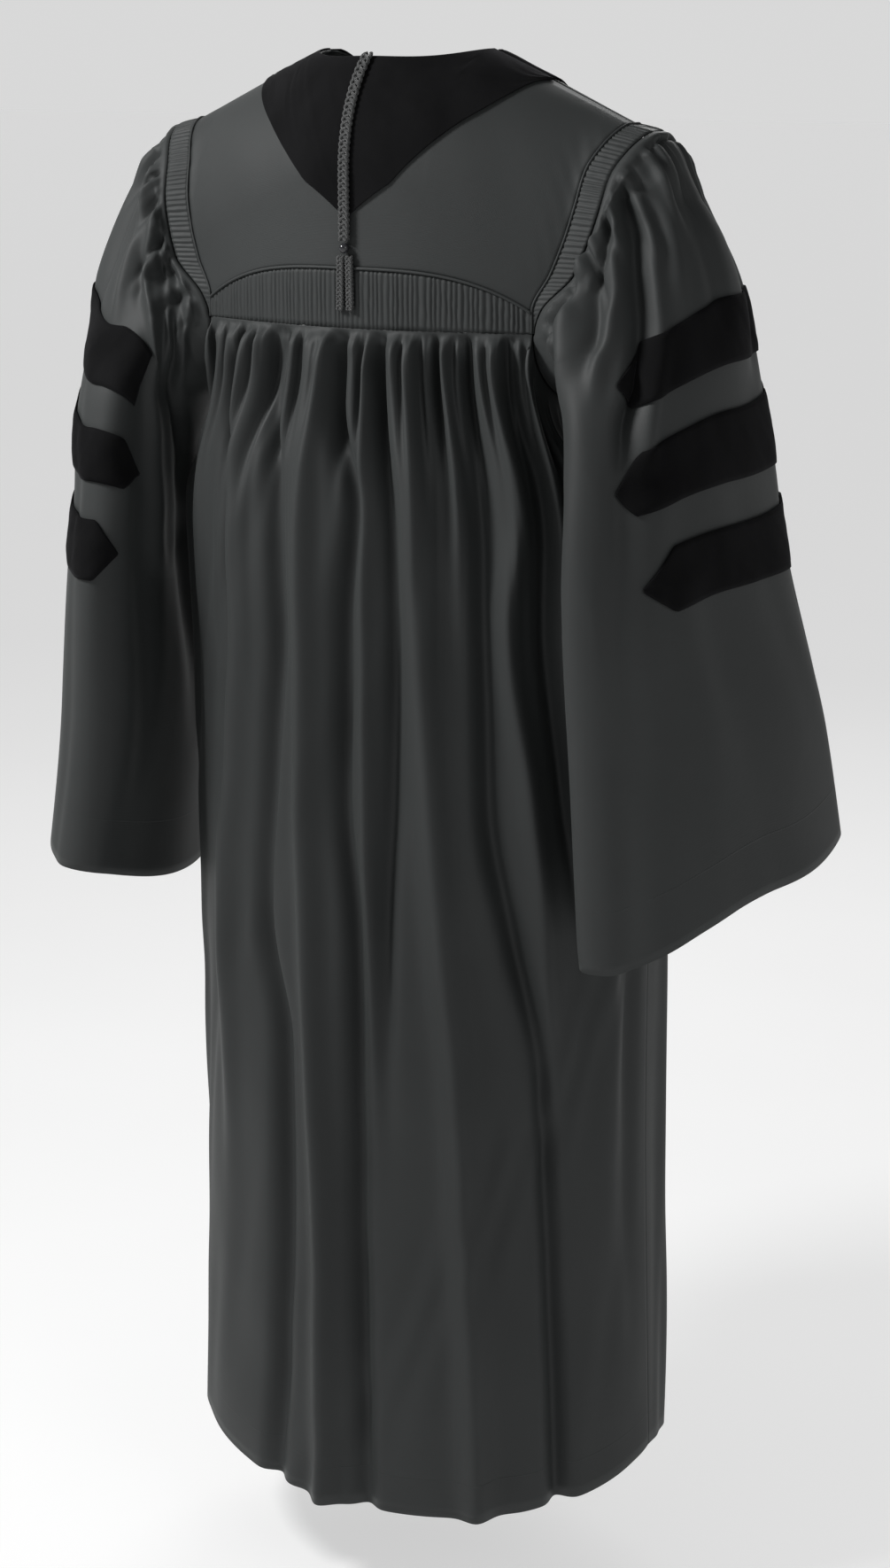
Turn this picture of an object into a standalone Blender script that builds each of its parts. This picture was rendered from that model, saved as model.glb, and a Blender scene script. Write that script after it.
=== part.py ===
"""Doctoral graduation gown, a hollow garment in its worn shape.

The wearer faces -Y, the wearer's left is +X and +Z is up. The origin lies between the
shoulders, under the middle of the neck, 51 mm below the top of the shoulder line.
"""

import math

import bmesh
import bpy
from mathutils import Vector

# Cloth
CLOTH = 0.0014              # gown cloth with its turned edges
VELVET = 0.0015             # velvet and its backing
SEAM = 0.0003               # air between two pieces that are sewn edge to edge
HEAD_SEAM = 0.0014          # air at the gathered head of a sleeve
LIFT = 0.0005               # air between a panel and the piece that is sewn flat on it
SHOULDER_SEAM = 0.0007      # half of the shoulder seam's gap, measured on top of the ridge

# Shoulders, neck and chest
RIDGE_TOP = 0.0505          # height of the shoulder line at the middle
RIDGE_SLOPE = 0.468         # how fast the shoulder line falls
RIDGE_ROUND = 0.05          # how far the top of the shoulder line is rounded
SHOULDER_HALF = 0.231       # shoulder point from the middle
SHOULDER_FALL = 0.13        # height over which the shoulder rounds into the back
BACK_DEPTH = 0.118          # shoulder line to the middle of the back
FRONT_DEPTH = 0.122         # shoulder line to the middle of the chest
EDGE_DEPTH = 0.075          # shoulder line to the back, beside the armhole
DEPTH_REACH = 0.20          # half width over which the depth falls to its edge value
NECK_HALF = 0.087           # neck point from the middle
NECK_BACK = 0.075           # neck opening behind the shoulder line
NECK_FRONT_Z = -0.185       # bottom of the front neckline
NECKLINE_BEND = 1.15        # how much the front neckline hollows towards the middle
CHEST_Z = -0.16             # height below which the front starts to hang

# Armhole
ARMHOLE_FOOT = -0.285       # height of the underarm point
ARMHOLE_STATIONS = 40       # points round the armhole, shared by every piece sewn there
YOKE_CORNER = 12            # station of the yoke's corner, counted from the shoulder
BAND_CORNER = 13            # station of the lower corner of the fluted band
UNDERARM = ARMHOLE_STATIONS // 2
ARM_SPREAD = 0.10           # how far the sleeve's cloth leans to front and back at the armhole
ARM_FALL = 0.22             # how far it falls there at the shoulder, and rises underneath

# Armhole seam seen from behind
ARMHOLE_LINE = (
    # height, half width
    (-0.285, 0.178),
    (-0.240, 0.1725),
    (-0.198, 0.1720),
    (-0.165, 0.1875),
    (-0.135, 0.1985),
    (-0.105, 0.2060),
    (-0.075, 0.2105),
    (-0.055, 0.2185),
    (-0.032, 0.2310),
)

# Outer edge of the velvet down the front
FACING_LINE = (
    # height, distance from the middle
    (-0.285, 0.118),
    (-0.200, 0.119),
    (-0.100, 0.127),
    (0.010, 0.1446),
)
FACING_SPREAD = 0.50        # height in which the front's threads spread out evenly

# Back yoke
YOKE_SEAM_Z = -0.1635       # height of the yoke seam at the middle
YOKE_SEAM_BEND = 3.2        # how late the seam bends down to its corners
YOKE_COLUMNS = (0.0, 0.14, 0.26, 0.34, NECK_HALF / SHOULDER_HALF, 0.50, 0.63, 0.76, 0.88, 1.0)

# Velvet on the back: edge of the V
VELVET_V = (
    # half width, drop round the shoulder (1 where the back starts to hang straight)
    (0.000, 1.31),
    (0.049, 0.97),
    (0.094, 0.66),
    (0.118, 0.48),
    (0.134, 0.31),
    (0.1475, 0.06),
    (0.1800, -0.55),
)

# Fluting, rounded rolls of gathered cloth
BAND_FLUTES = 44
FLUTES_PER_STATION = 2      # behind the shoulder point
FRONT_FLUTES_PER_STATION = 1
FRONT_FLUTING_END = 12.5    # station at which the strip ends in front
FLUTE_RISE = 0.0016
FLUTING_WIDTH = 0.024       # width of the strip along the armhole
FLUTING_TAPER = 3           # stations over which the strip narrows to its end
FLUTING_TIP = 0.0015

# Body below the band: level sections
BODY = (
    # height, half width, half depth, centre behind the shoulder line
    (-1.380, 0.255, 0.194, -0.034),
    (-0.900, 0.242, 0.183, -0.035),
    (-0.600, 0.243, 0.176, -0.030),
    (-0.420, 0.243, 0.165, -0.018),
    (-0.300, 0.215, 0.140, -0.004),
    (-0.200, 0.180, 0.120, 0.000),
)
BODY_DROP_BACK = 0.13       # height over which the skirt falls into the level sections
BODY_DROP_FRONT = 0.24
BAND_SHARE = 0.61           # part of the back between its middle and the band's corner
NECK_SHARE = 0.20           # parts of the front's width: to the neck point,
VELVET_SHARE = 0.34         # to the outer edge of the velvet
SHOULDER_SHARE = 0.55       # and to the shoulder point
SHOULDER_SPREAD = 0.015     # height over which the cloth leaves the shoulder seam's own line
OUTER_SHARE = 0.80          # from here on the front falls like the back
SIDE_SEAM = 0.0005          # each side's part of the gap in the side seam
SIDE_SETTLE = 0.12          # share of the width over which folds die out at the side seam
FRONT_SETTLE = 0.10
FRONT_GAP = 0.0008          # half of the slit between the two fronts
FRONT_EDGE = 0.0016         # how far the fronts' edges stay back from the armhole seam
HEM_BACK_Z = -1.385
HEM_SIDE_Z = -1.346
HEM_FRONT_Z = -1.355

# Sleeves: level sections, ovals whose back end turns in towards the body
SLEEVE_LEFT = (
    # height, centre out, centre back, half width, half depth, turn in degrees
    (-0.820, 0.349, -0.013, 0.065, 0.168, 9.0),
    (-0.600, 0.322, 0.000, 0.062, 0.165, 14.0),
    (-0.420, 0.302, 0.020, 0.050, 0.148, 14.0),
    (-0.300, 0.286, 0.016, 0.055, 0.130, 9.0),
    (-0.200, 0.249, 0.001, 0.085, 0.107, 3.0),
    (-0.100, 0.200, 0.000, 0.109, 0.090, 0.0),
)
SLEEVE_RIGHT = (
    # height, centre out, centre back, half width, half depth, turn in degrees
    (-0.820, 0.340, -0.016, 0.064, 0.180, 15.0),
    (-0.600, 0.322, 0.003, 0.062, 0.168, 12.0),
    (-0.420, 0.302, 0.026, 0.050, 0.150, 10.0),
    (-0.300, 0.288, 0.020, 0.055, 0.130, 8.0),
    (-0.200, 0.252, 0.003, 0.083, 0.107, 3.0),
    (-0.100, 0.200, 0.000, 0.107, 0.090, 0.0),
)
SLEEVE_HEAD_ROWS = (0.0, 0.06, 0.20, 0.45, 0.72)
SLEEVE_LOWER_ROWS = (0.30, 0.65, 1.0)
# Level lines of the cut sleeve, between which the bars are sewn
BAR_ROWS = (
    # name, height outside, at the back, inside and in front
    ("bar_1_top", -0.182, -0.228, -0.330, -0.176),
    ("bar_1_middle", -0.210, -0.255, -0.346, -0.204),
    ("bar_1_bottom", -0.239, -0.282, -0.362, -0.233),
    ("bar_2_top", -0.280, -0.322, -0.383, -0.264),
    ("bar_2_middle", -0.312, -0.347, -0.400, -0.300),
    ("bar_2_bottom", -0.343, -0.372, -0.417, -0.336),
    ("bar_3_top", -0.382, -0.408, -0.440, -0.374),
    ("bar_3_middle", -0.410, -0.437, -0.462, -0.406),
    ("bar_3_bottom", -0.438, -0.466, -0.485, -0.438),
)
SLEEVE_HEM_LEFT = ("hem", -0.732, -0.765, -0.805, -0.705)
SLEEVE_HEM_RIGHT = ("hem", -0.722, -0.778, -0.790, -0.690)

# Folds, each a soft ridge (rise above 0) or trough (below 0)
FOLD_FADE = 3.0             # a fold reaches its full rise a third of the way in
GATHERS = (                 # ridges under the band, from the left armhole to the right
    0.600, 0.520, 0.440, 0.365, 0.300, 0.232, 0.172, 0.095, 0.005, -0.060, -0.135,
    -0.205, -0.258, -0.312, -0.360, -0.414, -0.472, -0.530, -0.595,
)
GATHER_RISE = 0.0045
GATHER_SWELL = 0.018        # height in which the gathers swell out below the band
GATHER_RUN = 0.17           # height below the band in which they run out
BACK_FOLDS = (
    # height from, height to, share there, share here, rise, half width in share
    (-0.22, -0.55, 0.585, 0.640, 0.0070, 0.035),
    (-0.22, -0.70, 0.525, 0.560, -0.0080, 0.032),
    (-0.21, -1.15, 0.370, 0.430, 0.0120, 0.060),
    (-0.22, -1.05, 0.290, 0.255, -0.0100, 0.040),
    (-0.20, -1.60, 0.170, 0.030, 0.0125, 0.045),
    (-0.22, -1.25, 0.040, -0.060, -0.0110, 0.035),
    (-0.21, -1.10, -0.050, -0.100, 0.0080, 0.034),
    (-0.21, -1.10, -0.125, -0.140, -0.0090, 0.030),
    (-0.21, -1.60, -0.205, -0.420, 0.0120, 0.055),
    (-0.20, -0.55, -0.285, -0.290, -0.0070, 0.026),
    (-0.21, -0.55, -0.350, -0.345, 0.0060, 0.030),
    (-0.21, -1.30, -0.400, -0.500, -0.0110, 0.036),
    (-0.21, -1.05, -0.500, -0.570, 0.0110, 0.045),
    (-0.21, -1.30, -0.560, -0.640, -0.0110, 0.036),
    (-0.22, -0.95, -0.630, -0.690, 0.0060, 0.035),
    (-0.30, -1.10, 0.800, 0.760, 0.0060, 0.060),
    (-0.30, -1.10, -0.820, -0.800, 0.0060, 0.060),
)
FRONT_FOLDS = (
    # height from, height to, share there, share here, rise, half width in share
    (-0.10, -1.10, 0.420, 0.410, -0.0090, 0.035),
    (-0.08, -1.50, 0.490, 0.480, 0.0110, 0.045),
    (-0.12, -1.20, 0.570, 0.560, -0.0090, 0.040),
    (-0.16, -1.50, 0.660, 0.640, 0.0110, 0.050),
    (-0.22, -1.10, 0.750, 0.730, -0.0080, 0.045),
    (-0.26, -1.30, 0.830, 0.820, 0.0080, 0.050),
)
HEAD_GATHER = 0.0035
HEAD_GATHER_ROWS = 3.5
HEAD_GATHER_START = 0.4     # rows above the seam at which the gathers would begin
HEAD_GATHER_FULL = 14       # stations to each side of the shoulder that are gathered
SLEEVE_FOLDS_RIGHT = (
    # row from, row to, station there, station here, rise, half width in stations
    (1.0, 17.0, 5.5, 8.4, -0.0150, 1.15),
    (0.5, 10.0, 4.2, 5.3, 0.0060, 1.10),
    (0.5, 7.0, 6.2, 10.2, 0.0050, 0.90),
    (0.5, 6.0, 7.2, 11.0, -0.0050, 0.90),
    (0.5, 13.0, 9.2, 14.0, 0.0070, 1.40),
    (0.5, 5.0, 10.8, 13.0, -0.0050, 0.90),
    (0.5, 8.0, 1.6, 1.3, -0.0060, 1.20),
    (9.0, 17.5, 3.0, 3.6, 0.0050, 2.20),
    (0.5, 14.0, -5.0, -7.0, -0.0090, 1.30),
    (0.5, 12.0, -9.0, -11.0, 0.0070, 1.50),
    (1.0, 16.0, -13.0, -14.0, -0.0070, 1.40),
)
SLEEVE_FOLDS_LEFT = (
    # row from, row to, station there, station here, rise, half width in stations
    (0.5, 7.0, 3.8, 4.6, 0.0045, 1.10),
    (0.5, 6.5, 5.2, 7.2, -0.0050, 1.00),
    (0.3, 12.0, 6.4, 17.5, 0.0060, 1.30),
    (0.5, 8.0, 8.3, 14.5, -0.0040, 1.00),
    (1.0, 16.0, 11.2, 19.5, -0.0070, 1.20),
    (2.0, 6.0, 9.6, 11.2, 0.0040, 0.90),
    (0.5, 8.0, 0.8, 0.6, -0.0050, 1.30),
    (0.5, 14.0, -4.6, -6.5, -0.0090, 1.30),
    (0.5, 12.0, -8.4, -10.0, 0.0070, 1.50),
    (1.0, 16.0, -12.4, -14.0, -0.0080, 1.40),
)

# Velvet bars on the sleeves, wider towards the back of the left arm and the front of the right
BAR_ENDS = (
    # middle row of the bar, left arm's front tip and back tip, right arm's front and back tip
    (6, -8.6, 11.6, -12.2, 8.5),
    (9, -8.2, 14.4, -13.2, 7.8),
    (12, -6.6, 12.6, -11.4, 5.6),
)
BAR_TIP = 1.8               # stations over which a bar's end narrows to its point
BAR_LIFT = 0.0007           # air between a bar and the sleeve
BAR_POINT = 0.06            # part of the bar's width that is left at the point

# Back cord and button
CORD_WIDTH = 0.0118
CORD_THICK = 0.0048
CORD_END_Z = -0.1390
STRAND_WIDTH = 0.0086
STRAND_THICK = 0.0042
STRAND_SPREAD = 0.0008      # how far each strand leans away from the middle
STRAND_START_Z = -0.1525
STRAND_END_Z = -0.2010
BUTTON_Z = -0.1457
BUTTON_RADIUS = 0.0047
BUTTON_RISE = 0.0088
CORD_STEPS = 10
STRAND_STEPS = 3
ROD_SIDES = 10

# Zip tape behind the fronts' edges
ZIP_THICK = 0.0012
ZIP_LIFT = 0.0007           # air between the tape and the fronts
ZIP_FIRST_ROW = 2           # rows of the fronts between which the zip runs
ZIP_LAST_ROW = 9

# How skewed a cell is before it is split along its other diagonal
SKEW = 1.25

# Colours
CLOTH_COLOUR = (0.050, 0.050, 0.048)
VELVET_COLOUR = (0.008, 0.008, 0.008)
CORD_COLOUR = (0.130, 0.130, 0.125)
BEAD_COLOUR = (0.015, 0.015, 0.018)
TAPE_COLOUR = (0.020, 0.020, 0.020)

# Rows of the grids, as parts of the way down
BACK_ROWS = (0.0, 0.010, 0.028, 0.058, 0.10, 0.16, 0.24, 0.36, 0.52, 0.74, 1.0)
FRONT_ROWS = (0.0, 0.004, 0.016, 0.036, 0.062, 0.10, 0.17, 0.29, 0.47, 0.71, 1.0)
FRONT_COLUMNS = (0.0, 0.035, 0.105, NECK_SHARE, 0.27, VELVET_SHARE, 0.445)


def clamp(value, low, high):
    """Value kept between two limits."""
    return max(low, min(high, value))


def ease(value):
    """Soft step from 0 to 1."""
    t = clamp(value, 0.0, 1.0)
    return t * t * (3.0 - 2.0 * t)


def mix(a, b, t):
    """Straight blend of two numbers or vectors."""
    return a + (b - a) * t


def bump(distance, width):
    """Rounded hill of height 1 and a given half width."""
    return math.exp(-(distance / width) ** 2)


def curve(rows, key, column):
    """Smooth value of a table's column at a key, with the keys rising in column 0."""
    last = len(rows) - 1
    key = clamp(key, rows[0][0], rows[last][0])
    i = 0
    while i < last - 1 and key > rows[i + 1][0]:
        i += 1

    def slope(j):
        return (rows[j + 1][column] - rows[j][column]) / (rows[j + 1][0] - rows[j][0])

    def tangent(j):
        if j == 0 or j == last:
            return slope(min(j, last - 1))
        before, after = slope(j - 1), slope(j)
        if before * after <= 0.0:
            return 0.0
        return 2.0 * before * after / (before + after)

    span = rows[i + 1][0] - rows[i][0]
    t = (key - rows[i][0]) / span
    start, end = rows[i][column], rows[i + 1][column]
    lift = (tangent(i) * (1 - t) - tangent(i + 1) * t) * span * t * (1 - t)
    return mix(start, end, ease(t)) + lift


def ridge_z(x):
    """Height of the shoulder line."""
    return RIDGE_TOP - RIDGE_SLOPE * (math.hypot(x, RIDGE_ROUND) - RIDGE_ROUND)


def depth_at(x, side):
    """Distance of the straight back (side 1) or chest (side -1) from the shoulder line."""
    middle = BACK_DEPTH if side > 0 else FRONT_DEPTH
    reach = min(abs(x) / DEPTH_REACH, 1.0)
    return EDGE_DEPTH + (middle - EDGE_DEPTH) * math.cos(math.pi / 2 * reach)


def shoulder_point(x, drop, side):
    """Point on the back or chest: drop 0 on the shoulder line, 1 where it hangs straight."""
    turn = min(drop, 1.0) * math.pi / 2
    y = side * depth_at(x, side) * math.sin(turn)
    z = ridge_z(x) - SHOULDER_FALL * (1.0 - math.cos(turn) + max(drop - 1.0, 0.0))
    return Vector((x, y, z))


def drop_at(x, z):
    """Drop of the point of the back or chest that lies at a height."""
    fall = (ridge_z(x) - z) / SHOULDER_FALL
    if fall > 1.0:
        return fall
    return math.acos(clamp(1.0 - fall, -1.0, 1.0)) / (math.pi / 2)


def armhole_x(z):
    """Half width of the body at the armhole seam."""
    return curve(ARMHOLE_LINE, z, 1)


ARMHOLE_TOP = ridge_z(SHOULDER_HALF)
ARMHOLE_MIDDLE = (ARMHOLE_TOP + ARMHOLE_FOOT) / 2
ARMHOLE_RADIUS = (ARMHOLE_TOP - ARMHOLE_FOOT) / 2


def station_angle(station):
    """Angle round the armhole from the shoulder point, towards the back."""
    return 2 * math.pi * station / ARMHOLE_STATIONS


def armhole_height(station):
    return ARMHOLE_MIDDLE + ARMHOLE_RADIUS * math.cos(station_angle(station))


def armhole_station(station):
    """Point of the left armhole seam at a whole station."""
    side = 1 if math.sin(station_angle(station)) >= 0 else -1
    z = armhole_height(station)
    corner_z = armhole_height(BAND_CORNER)
    if z >= corner_z - 1e-9:
        x = armhole_x(z) if station % ARMHOLE_STATIONS else SHOULDER_HALF
        return shoulder_point(x, drop_at(x, z), side)
    x = armhole_x(z)
    fall = (corner_z - z) / (corner_z - ARMHOLE_FOOT)
    corner_depth = depth_at(armhole_x(corner_z), side)
    return Vector((x, side * corner_depth * math.sqrt(max(1.0 - fall * fall, 0.0)), z))


def armhole_point(station):
    """Point of the left armhole seam, straight between its whole stations."""
    low = math.floor(station + 1e-9)
    rest = station - low
    if rest < 1e-6:
        return armhole_station(low)
    return armhole_station(low).lerp(armhole_station(low + 1), rest)


def away_from_armhole(station):
    """Direction in which the left sleeve's cloth leaves the armhole seam."""
    angle = station_angle(station)
    return Vector((1.0, ARM_SPREAD * math.sin(angle), -ARM_FALL * math.cos(angle))).normalized()


def fluting_width(station):
    """Width of the fluted strip, which narrows where it ends beside the band."""
    away = min(station % ARMHOLE_STATIONS, -station % ARMHOLE_STATIONS)
    if away > BAND_CORNER:
        return 0.0
    t = ease((BAND_CORNER - away) / FLUTING_TAPER)
    return mix(FLUTING_TIP, FLUTING_WIDTH, t)


def mirrored(point, hand):
    """Left-hand point (hand 1) or its mirror on the wearer's right (hand -1)."""
    return Vector((hand * point[0], point[1], point[2]))


def yoke_seam_z(x):
    """Height of the seam under the yoke, arched up at the middle."""
    corner = armhole_height(YOKE_CORNER)
    reach = abs(x) / armhole_x(corner)
    return YOKE_SEAM_Z + (corner - YOKE_SEAM_Z) * reach ** YOKE_SEAM_BEND


def neck_drop(x):
    """Drop of the upper edge of the back: the neck opening, then the shoulder seam."""
    if abs(x) >= NECK_HALF:
        return 0.0
    y = NECK_BACK * math.sqrt(1.0 - (x / NECK_HALF) ** 2)
    return math.asin(y / depth_at(x, 1)) / (math.pi / 2)


def body_section(share, z, side):
    """Point of the level body section at a share of the way from its middle to its side."""
    angle = share * math.pi / 2
    width = curve(BODY, z, 1)
    depth = curve(BODY, z, 2)
    centre = curve(BODY, z, 3)
    return Vector((width * math.sin(angle), centre + side * depth * math.cos(angle), z))


def back_top(share):
    """Upper edge of the back skirt: under the band, then down the armhole to the underarm."""
    if share <= BAND_SHARE:
        corner = armhole_station(BAND_CORNER)
        x = corner.x * share / BAND_SHARE
        return Vector((x, depth_at(x, 1), corner.z))
    rest = (share - BAND_SHARE) / (1.0 - BAND_SHARE)
    return armhole_point(BAND_CORNER + rest * (UNDERARM - BAND_CORNER))


def hem_z(share, side):
    """Height of the hem, which dips at the middle of the back and the front."""
    middle = HEM_BACK_Z if side > 0 else HEM_FRONT_Z
    return mix(middle, HEM_SIDE_Z, share * share)


def back_base(share, z):
    """Back skirt without its folds, left half, at a share of the way to the side seam."""
    top = back_top(share)
    t = ease((top.z - z) / BODY_DROP_BACK)
    section = body_section(share, z, 1)
    return Vector((mix(top.x, section.x, t), mix(top.y, section.y, t), z))


def row_height(row, station):
    """Height of a sleeve row at a station, from its four heights round the sleeve."""
    angle = station_angle(station)
    across = row[1] if math.cos(angle) > 0 else row[3]
    along = row[2] if math.sin(angle) > 0 else row[4]
    return across * math.cos(angle) ** 2 + along * math.sin(angle) ** 2


def sleeve_head(station):
    """Upper edge of the left sleeve: outside the fluted strip, or at the seam below it."""
    start = armhole_station(station)
    return start + away_from_armhole(station) * (fluting_width(station) + HEAD_SEAM)


def sleeve_section(sections, station, z):
    """Point of a sleeve's level oval, left hand."""
    angle = station_angle(station)
    out = curve(sections, z, 3) * math.cos(angle)
    back = curve(sections, z, 4) * math.sin(angle)
    turn = math.radians(curve(sections, z, 5))
    x = curve(sections, z, 1) + out * math.cos(turn) - back * math.sin(turn)
    y = curve(sections, z, 2) + out * math.sin(turn) + back * math.cos(turn)
    return Vector((x, y, z))


def sleeve_base(hand, station, row):
    """Sleeve without folds, as on the left; rows 0 to 5 are the head, then the bars' rows."""
    sections = SLEEVE_LEFT if hand > 0 else SLEEVE_RIGHT
    hem = SLEEVE_HEM_LEFT if hand > 0 else SLEEVE_HEM_RIGHT
    head = sleeve_head(station)
    bars = len(SLEEVE_HEAD_ROWS)
    lower = bars + len(BAR_ROWS)

    def height(i):
        if i < bars:
            bottom = row_height(BAR_ROWS[0], station)
            return mix(head.z, bottom, SLEEVE_HEAD_ROWS[i])
        if i < lower:
            return row_height(BAR_ROWS[i - bars], station)
        start = row_height(BAR_ROWS[-1], station)
        return mix(start, row_height(hem, station), SLEEVE_LOWER_ROWS[i - lower])

    def share(i):
        return SLEEVE_HEAD_ROWS[i] if i < bars else 1.0

    low = min(int(row), lower + len(SLEEVE_LOWER_ROWS) - 2)
    rest = row - low
    z = mix(height(low), height(low + 1), rest)
    f = mix(share(low), share(low + 1), rest)
    section = sleeve_section(sections, station, z)
    swell = math.sqrt(f * (2.0 - f))
    return Vector((mix(head.x, section.x, swell), mix(head.y, section.y, swell), z))


def fold_rise(folds, place, level):
    """Sum of a table's folds at a place across the cloth and a level down it."""
    total = 0.0
    for start, end, place_start, place_end, rise, width in folds:
        run = (level - start) / (end - start)
        if 0.0 < run < 1.0:
            fade = ease(run * FOLD_FADE) * ease((1.0 - run) * FOLD_FADE)
            total += rise * fade * bump(place - mix(place_start, place_end, run), width)
    return total


def outward(point, ahead):
    """Level direction out of a body section, from two points in counter-clockwise order."""
    along = ahead - point
    return Vector((along.y, -along.x, 0.0)).normalized()


def gather_rise(share, below):
    """Short gathers under the band: rounded rolls between the troughs of a table."""
    reach = ease(below / GATHER_SWELL) * (1.0 - ease(below / GATHER_RUN))
    if reach <= 0.0 or not GATHERS[-1] < share < GATHERS[0]:
        return 0.0
    i = 0
    while share < GATHERS[i + 1]:
        i += 1
    t = (GATHERS[i] - share) / (GATHERS[i] - GATHERS[i + 1])
    return GATHER_RISE * reach * math.cos(2 * math.pi * t)


def back_point(share, down):
    """Back skirt at a share from the right side seam (-1) to the left (1), and down it."""
    side = 1 if share >= 0 else -1
    top = back_top(abs(share))
    z = mix(top.z - SEAM, hem_z(abs(share), 1), down)
    step = 0.004
    near = mirrored(back_base(min(abs(share), 1.0 - step), z), side)
    ahead = mirrored(back_base(min(abs(share), 1.0 - step) + step, z), side)
    direction = outward(near, ahead) * -side
    rise = fold_rise(BACK_FOLDS, share, z) + gather_rise(share, top.z - z)
    settle = ease((1.0 - abs(share)) / SIDE_SETTLE)
    point = mirrored(back_base(abs(share), z), side)
    point += direction * rise * settle * ease((top.z - z) / GATHER_SWELL)
    if abs(share) > 1.0 - 1e-6:
        point.y += SIDE_SEAM
    return point


def neckline_z(x):
    """Height of the front neckline."""
    reach = min(x / NECK_HALF, 1.0)
    return mix(NECK_FRONT_Z, ridge_z(NECK_HALF), reach ** NECKLINE_BEND)


def across(share, edge_share):
    """Part of the way from the velvet's edge to the armhole, whose share is known."""
    start = VELVET_SHARE ** 2
    return (share ** 2 - start) / (edge_share ** 2 - start)


def front_top(share):
    """Upper edge of the left front: neckline, shoulder seam, then the armhole."""
    velvet_x = FACING_LINE[-1][1]
    if share <= NECK_SHARE:
        x = NECK_HALF * share / NECK_SHARE
        return shoulder_point(x, drop_at(x, neckline_z(x)), -1)
    if share <= VELVET_SHARE:
        x = mix(NECK_HALF, velvet_x, (share - NECK_SHARE) / (VELVET_SHARE - NECK_SHARE))
        return shoulder_point(x, 0.0, -1)
    if share <= SHOULDER_SHARE:
        x = mix(velvet_x, SHOULDER_HALF, across(share, SHOULDER_SHARE))
        return shoulder_point(x, 0.0, -1)
    rest = (share - SHOULDER_SHARE) / (1.0 - SHOULDER_SHARE)
    return armhole_point(-rest * UNDERARM)


def front_base(share, z):
    """Left front without folds, at a share of the way from its middle edge."""
    top = front_top(share)
    edge = curve(FACING_LINE, z, 1)
    if share <= VELVET_SHARE:
        start = top.x / curve(FACING_LINE, top.z, 1)
        even = math.sin(share * math.pi / 2) / math.sin(VELVET_SHARE * math.pi / 2)
        x = edge * mix(start, even, ease((top.z - z) / FACING_SPREAD))
    else:
        angle = math.acos(clamp((z - ARMHOLE_MIDDLE) / ARMHOLE_RADIUS, -1.0, 1.0))
        armhole_share = mix(SHOULDER_SHARE, 1.0, angle / math.pi)
        x = mix(edge, armhole_x(z), across(share, armhole_share))
        if share <= SHOULDER_SHARE:
            x = mix(top.x, x, ease((top.z - z) / SHOULDER_SPREAD))
    if top.z > armhole_height(BAND_CORNER) - 1e-9:
        y = shoulder_point(x, drop_at(x, min(z, top.z)), -1).y
    else:
        y = top.y
    section = body_section(share, z, -1)
    outer = ease((share - VELVET_SHARE) / (OUTER_SHARE - VELVET_SHARE))
    fall = mix(BODY_DROP_FRONT, BODY_DROP_BACK, outer)
    start_z = min(top.z, mix(CHEST_Z, armhole_height(BAND_CORNER), outer))
    t = ease((start_z - z) / fall)
    return Vector((mix(x, section.x, t), mix(y, section.y, t), z))


def front_point(share, down):
    """Left front at a share from its middle edge (0) to the side seam (1), and down it."""
    top = front_top(share)
    if share < 1e-6:
        top.z = neckline_z(0.0)
    z = mix(top.z, hem_z(share, -1), down)
    point = front_base(share, z)
    step = 0.004
    near = front_base(max(share, step) - step, min(z, top.z))
    direction = outward(near, front_base(max(share, step), min(z, top.z)))
    settle = ease((1.0 - share) / SIDE_SETTLE) * ease(down / FRONT_SETTLE)
    point += direction * fold_rise(FRONT_FOLDS, share, z) * settle
    if share < 1e-6:
        point.x += FRONT_GAP
    if share > 1.0 - 1e-6:
        point.y -= SIDE_SEAM
    if share >= SHOULDER_SHARE and down < 1e-6:
        point.x -= FRONT_EDGE
    if NECK_SHARE <= share <= SHOULDER_SHARE and down < 1e-6:
        point.y -= SHOULDER_SEAM
    return point


def sleeve_point(hand, station, row):
    """Sleeve with its folds, as on the left, at a station and a row."""
    point = sleeve_base(hand, station, row)
    before = sleeve_base(hand, station - 1, max(row, 0.5))
    after = sleeve_base(hand, station + 1, max(row, 0.5))
    direction = outward(before, after)
    folds = SLEEVE_FOLDS_LEFT if hand > 0 else SLEEVE_FOLDS_RIGHT
    place = station if station <= UNDERARM + 4 else station - ARMHOLE_STATIONS
    rise = fold_rise(folds, place, row)
    if row < HEAD_GATHER_ROWS:
        run = (row + HEAD_GATHER_START) / (HEAD_GATHER_ROWS + HEAD_GATHER_START)
        reach = ease(1.2 - abs(place) / HEAD_GATHER_FULL)
        rise += HEAD_GATHER * math.sin(math.pi * run) * math.cos(math.pi * station) * reach
    return point + direction * rise


def cloth_mesh(name, grid, hand=1, wrap=False):
    """Open sheet through a grid; the right hand's cells are split as mirror images."""
    columns = len(grid[0])
    points = [point for line in grid for point in line]
    faces = []
    for r in range(len(grid) - 1):
        for c in range(columns if wrap else columns - 1):
            a, d = r * columns + c, r * columns + (c + 1) % columns
            b, e = a + columns, d + columns
            falling = (points[a] - points[e]).length
            rising = (points[b] - points[d]).length
            if falling <= rising * (SKEW if hand > 0 else 1.0 / SKEW):
                faces += [(a, b, e), (a, e, d)]
            else:
                faces += [(a, b, d), (b, e, d)]
    mesh = bpy.data.meshes.new(name)
    mesh.from_pydata([tuple(point) for point in points], [], faces)
    mesh.update()
    return mesh


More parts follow.
